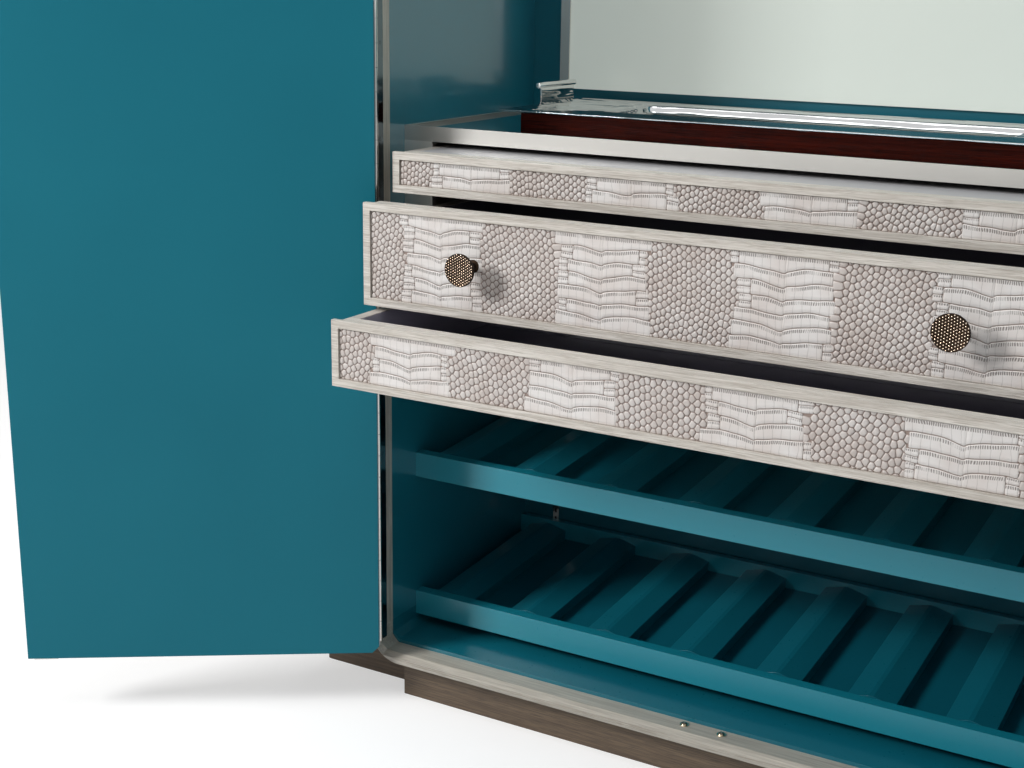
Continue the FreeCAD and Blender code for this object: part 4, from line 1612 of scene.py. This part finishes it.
@dataclass
class ServingTray:
    """Polished tray: a thin rim round a sunk well, with a flared handle at each end.

    Sizes are in millimetres.
    """

    rim: RoundedBox = RoundedBox(half=337.0, front=-77.0, back=142.0, corner=6.0)
    well: RoundedBox = RoundedBox(half=230.0, front=-17.0, back=109.0, corner=12.0)
    seat: float = 716.0
    sheet: float = 2.0
    lip: float = 2.6
    well_low: float = 705.0
    well_sheet: float = 1.6
    pan_crease: float = 60.0
    handle_x: float = 331.6
    handle_front: float = 15.0
    handle_length: float = 86.0
    handle_top: float = 741.0
    handle_sunk: float = 0.5
    handle_bow: float = 1.6
    handle_curl: float = 0.5
    handle_waist: float = 0.04
    handle_sheet: float = 1.6
    handle_steps: int = 10
    handle_slices: int = 14
    handle_crease: float = 50.0
    roll: float = 3.45
    roll_overhang: float = 3.8
    roll_edge: float = 0.6
    roll_steps: int = 20

    def pan(self) -> Mesh:
        """Makes rim and well as one closed sheet, from the underside's middle round to the top's.

        Each ring has its inset from the outline and its height.

        Returns:
            The mesh.
        """
        top, crest, floor = self.seat + self.sheet, self.seat + self.lip, self.well_low + self.well_sheet
        underside = [self.well.ring(inset, z) for inset, z in (
            (6.0, self.well_low), (1.2, self.well_low), (0.2, self.well_low + 1.2), (0.0, self.seat))]
        lip = [self.rim.ring(inset, z) for inset, z in (
            (2.6, self.seat), (0.2, crest - 0.9), (0.0, crest - 0.5), (0.5, crest), (2.0, crest), (3.0, top))]
        inside = [self.well.ring(inset, z) for inset, z in (
            (-3.0, top), (-1.2, top - 0.7), (0.4, top - 2.4), (1.0, top - 4.6), (1.8, floor + 3.0),
            (4.4, floor + 0.7), (8.0, floor))]
        rings = underside + lip + inside
        faces = loft_faces(len(rings) - 1, len(rings[0]), 0)
        return creased(mesh_of("serving_tray", [p for ring in rings for p in ring], faces), self.pan_crease)

    def plate(self, way: int) -> tuple[list[Vector], Faces]:
        """Makes a handle's bowed plate, which stands on the rim.

        Args:
            way: the sign of X at its end of the tray.

        Returns:
            Its points and faces.
        """
        outline: list[Triple] = []
        foot = self.seat + self.sheet - self.handle_sunk
        for face in (1, -1):
            for i in range(self.handle_steps + 1)[::face]:
                share = i / self.handle_steps
                bow = self.handle_bow * math.sin(math.pi * share)
                bow += self.handle_curl * math.sin(3 * math.pi * share)
                x = self.handle_x - bow - face * self.handle_sheet / 2
                outline.append((x * way, foot + (self.handle_top - foot) * share, share))
        points = []
        middle = self.handle_front + self.handle_length / 2
        for j in range(self.handle_slices + 1):
            along = 2 * j / self.handle_slices - 1
            for x, z, share in outline:
                reach = self.handle_length / 2 * (1 - self.handle_waist * math.sin(math.pi * share))
                points.append(Vector((x, middle + along * reach, z)) * MM)
        return points, loft_faces(self.handle_slices, len(outline), 0)

    def rolled_top(self, way: int) -> list[Vector]:
        """Makes the four loops of a handle's rolled top.

        Args:
            way: the sign of X at its end of the tray.

        Returns:
            Their points.
        """
        low, high = -self.roll_overhang, self.handle_length + self.roll_overhang
        small = self.roll - self.roll_edge
        points = []
        for y, radius in ((low, small), (low + self.roll_edge, self.roll), (high - self.roll_edge, self.roll),
                          (high, small)):
            for i in range(self.roll_steps):
                angle = 2 * math.pi * i / self.roll_steps
                points.append(Vector(((self.handle_x - radius * math.cos(angle)) * way, self.handle_front + y,
                                      self.handle_top + radius * math.sin(angle))) * MM)
        return points

    def build(self, finishes: Finishes) -> None:
        """Makes the tray and its two handles.

        Args:
            finishes: the cabinet's materials.
        """
        tray = place("serving_tray", self.pan(), "tray", "tray_chrome", finishes.chrome)
        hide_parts("tray")
        for side in Side:
            name = "tray_handle_" + side.word
            points, faces = self.plate(side.value)
            faces += loft_faces(3, self.roll_steps, len(points))
            mesh = mesh_of(name, points + self.rolled_top(side.value), faces)
            place(name, creased(mesh, self.handle_crease), "tray", "tray_chrome", finishes.hammered)


@dataclass
class Drawer:
    """Looks of one drawer: front, sides and lining. Sizes are in millimetres."""

    name: str
    lining_thickness: float = 0.8
    lining_gap: float = 0.2
    lining_below_top: float = 0.6

    def lining(self, material: Material) -> None:
        """Lines the inner faces of the drawer's four walls.

        Args:
            material: the lining's material.
        """
        low, high = (Vector(c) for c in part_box(self.name + "_bottom"))
        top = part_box(self.name + "_box")[1][2] - self.lining_below_top * MM
        gap, wall = self.lining_gap * MM, self.lining_thickness * MM
        plan = [corner for inset in (gap, wall) for corner in (
            (low.x + inset, low.y + inset), (high.x - inset, low.y + inset),
            (high.x - inset, high.y - inset), (low.x + inset, high.y - inset))]
        points = [Vector((x, y, z)) for z in (high.z + gap, top) for x, y in plan]
        faces = []
        for i in range(4):
            j = (i + 1) % 4
            faces += [[i, j, j + 8, i + 8], [i + 4, i + 12, j + 12, j + 4],
                      [i, i + 4, j + 4, j], [i + 8, j + 8, j + 12, i + 12]]
        place(self.name + "_lining", mesh_of(self.name + "_lining", points, faces), self.name,
              "drawer_lining", material, smooth=False)

    def build(self, finishes: Finishes) -> None:
        """Dresses the drawer's nodes; the hollow ones are lined, the pull-out shelf has a grey board.

        Args:
            finishes: the cabinet's materials.
        """
        dress(finishes.oak_across, self.name + "_front")
        dress(finishes.drawer_wood, self.name + "_box")
        if self.name == "drawer_upper":
            dress(finishes.grey_lining, self.name + "_bottom")
            return
        # The lower drawer's lining is the lighter copy, which is painted light.
        lining = finishes.charcoal if self.name == "drawer_middle" else finishes.charcoal_painted_light
        dress(lining, self.name + "_bottom")
        self.lining(lining)


class Case:
    """Fixed woodwork, lacquer, glass and metal of the case, and the doors: the nodes of each finish."""

    NODES = {
        "frame_painted_shade_across": ("frame_rail_bottom", "frame_rail_top"),
        "frame_painted_shade_upright": ("frame_stile_left", "frame_stile_right"),
        "brown_across": ("plinth_front", "plinth_base", "case_top", "case_bottom"),
        "brown_upright": ("wing_left", "wing_right", "case_back"),
        "teal_wall": ("liner_left", "liner_right"),
        "teal_painted_shade": ("liner_top", "liner_back"),
        "teal": ("liner_floor",),
        "teal_rack_painted_light": ("rack_lower_tray", "rack_upper_tray"),
        "teal_satin": ("door_left_lining", "door_right_lining"),
        "oak_upright": ("door_left_panel", "door_right_panel"),
        "silver": ("unit_stiles", "unit_sides", "unit_bottom"),
        "counter": ("counter",),
        "dark_glass": ("counter_glass",),
        "mirror": ("mirror",),
        "nickel": ("mirror_trims", "shelf_standards", "hinge_screws", "door_left_strike",
                   "door_right_strike"),
        "hinge": ("hinge_frame_leaf_left", "hinge_frame_leaf_right", "door_left_leaf", "door_right_leaf",
                  "hinge_pins"),
        "drawer_wood": ("drawer_bearers",),
        "brass": ("ball_catches",),
        "mahogany": ("tray_stand",),
        "bronze": ("drawer_knobs", "door_left_knob", "door_right_knob"),
    }

    def build(self, finishes: Finishes) -> None:
        """Gives every node its finish."""
        for finish, nodes in self.NODES.items():
            dress(getattr(finishes, finish), *nodes)


def main() -> None:
    """Builds the scene in order."""
    logging.basicConfig(level=logging.INFO, format="%(name)s: %(message)s")
    PhotoCamera().build()
    Studio().build()
    finishes = Finishes()
    Case().build(finishes)
    for name in ("upper", "middle", "lower"):
        Drawer("drawer_" + name).build(finishes)
    HidePanel("upper", 11, -195.0, rows=2, round_step=4.8, round_height=6.4, dip=3.0).build(finishes)
    HidePanel("middle", 23, -197.0, rows=7).build(finishes)
    HidePanel("lower", 37, -195.5, rows=4, round_step=5.7, round_height=7.6).build(finishes)
    Knobs().build(finishes)
    RackInsert("rack_lower", 84.5).build(finishes)
    RackInsert("rack_upper", 267.8).build(finishes)
    ServingTray().build(finishes)
    for side in Side:
        PianoHinge(side).build(finishes)
    ShelfStandards().build(finishes)


if __name__ == "__main__":
    main()
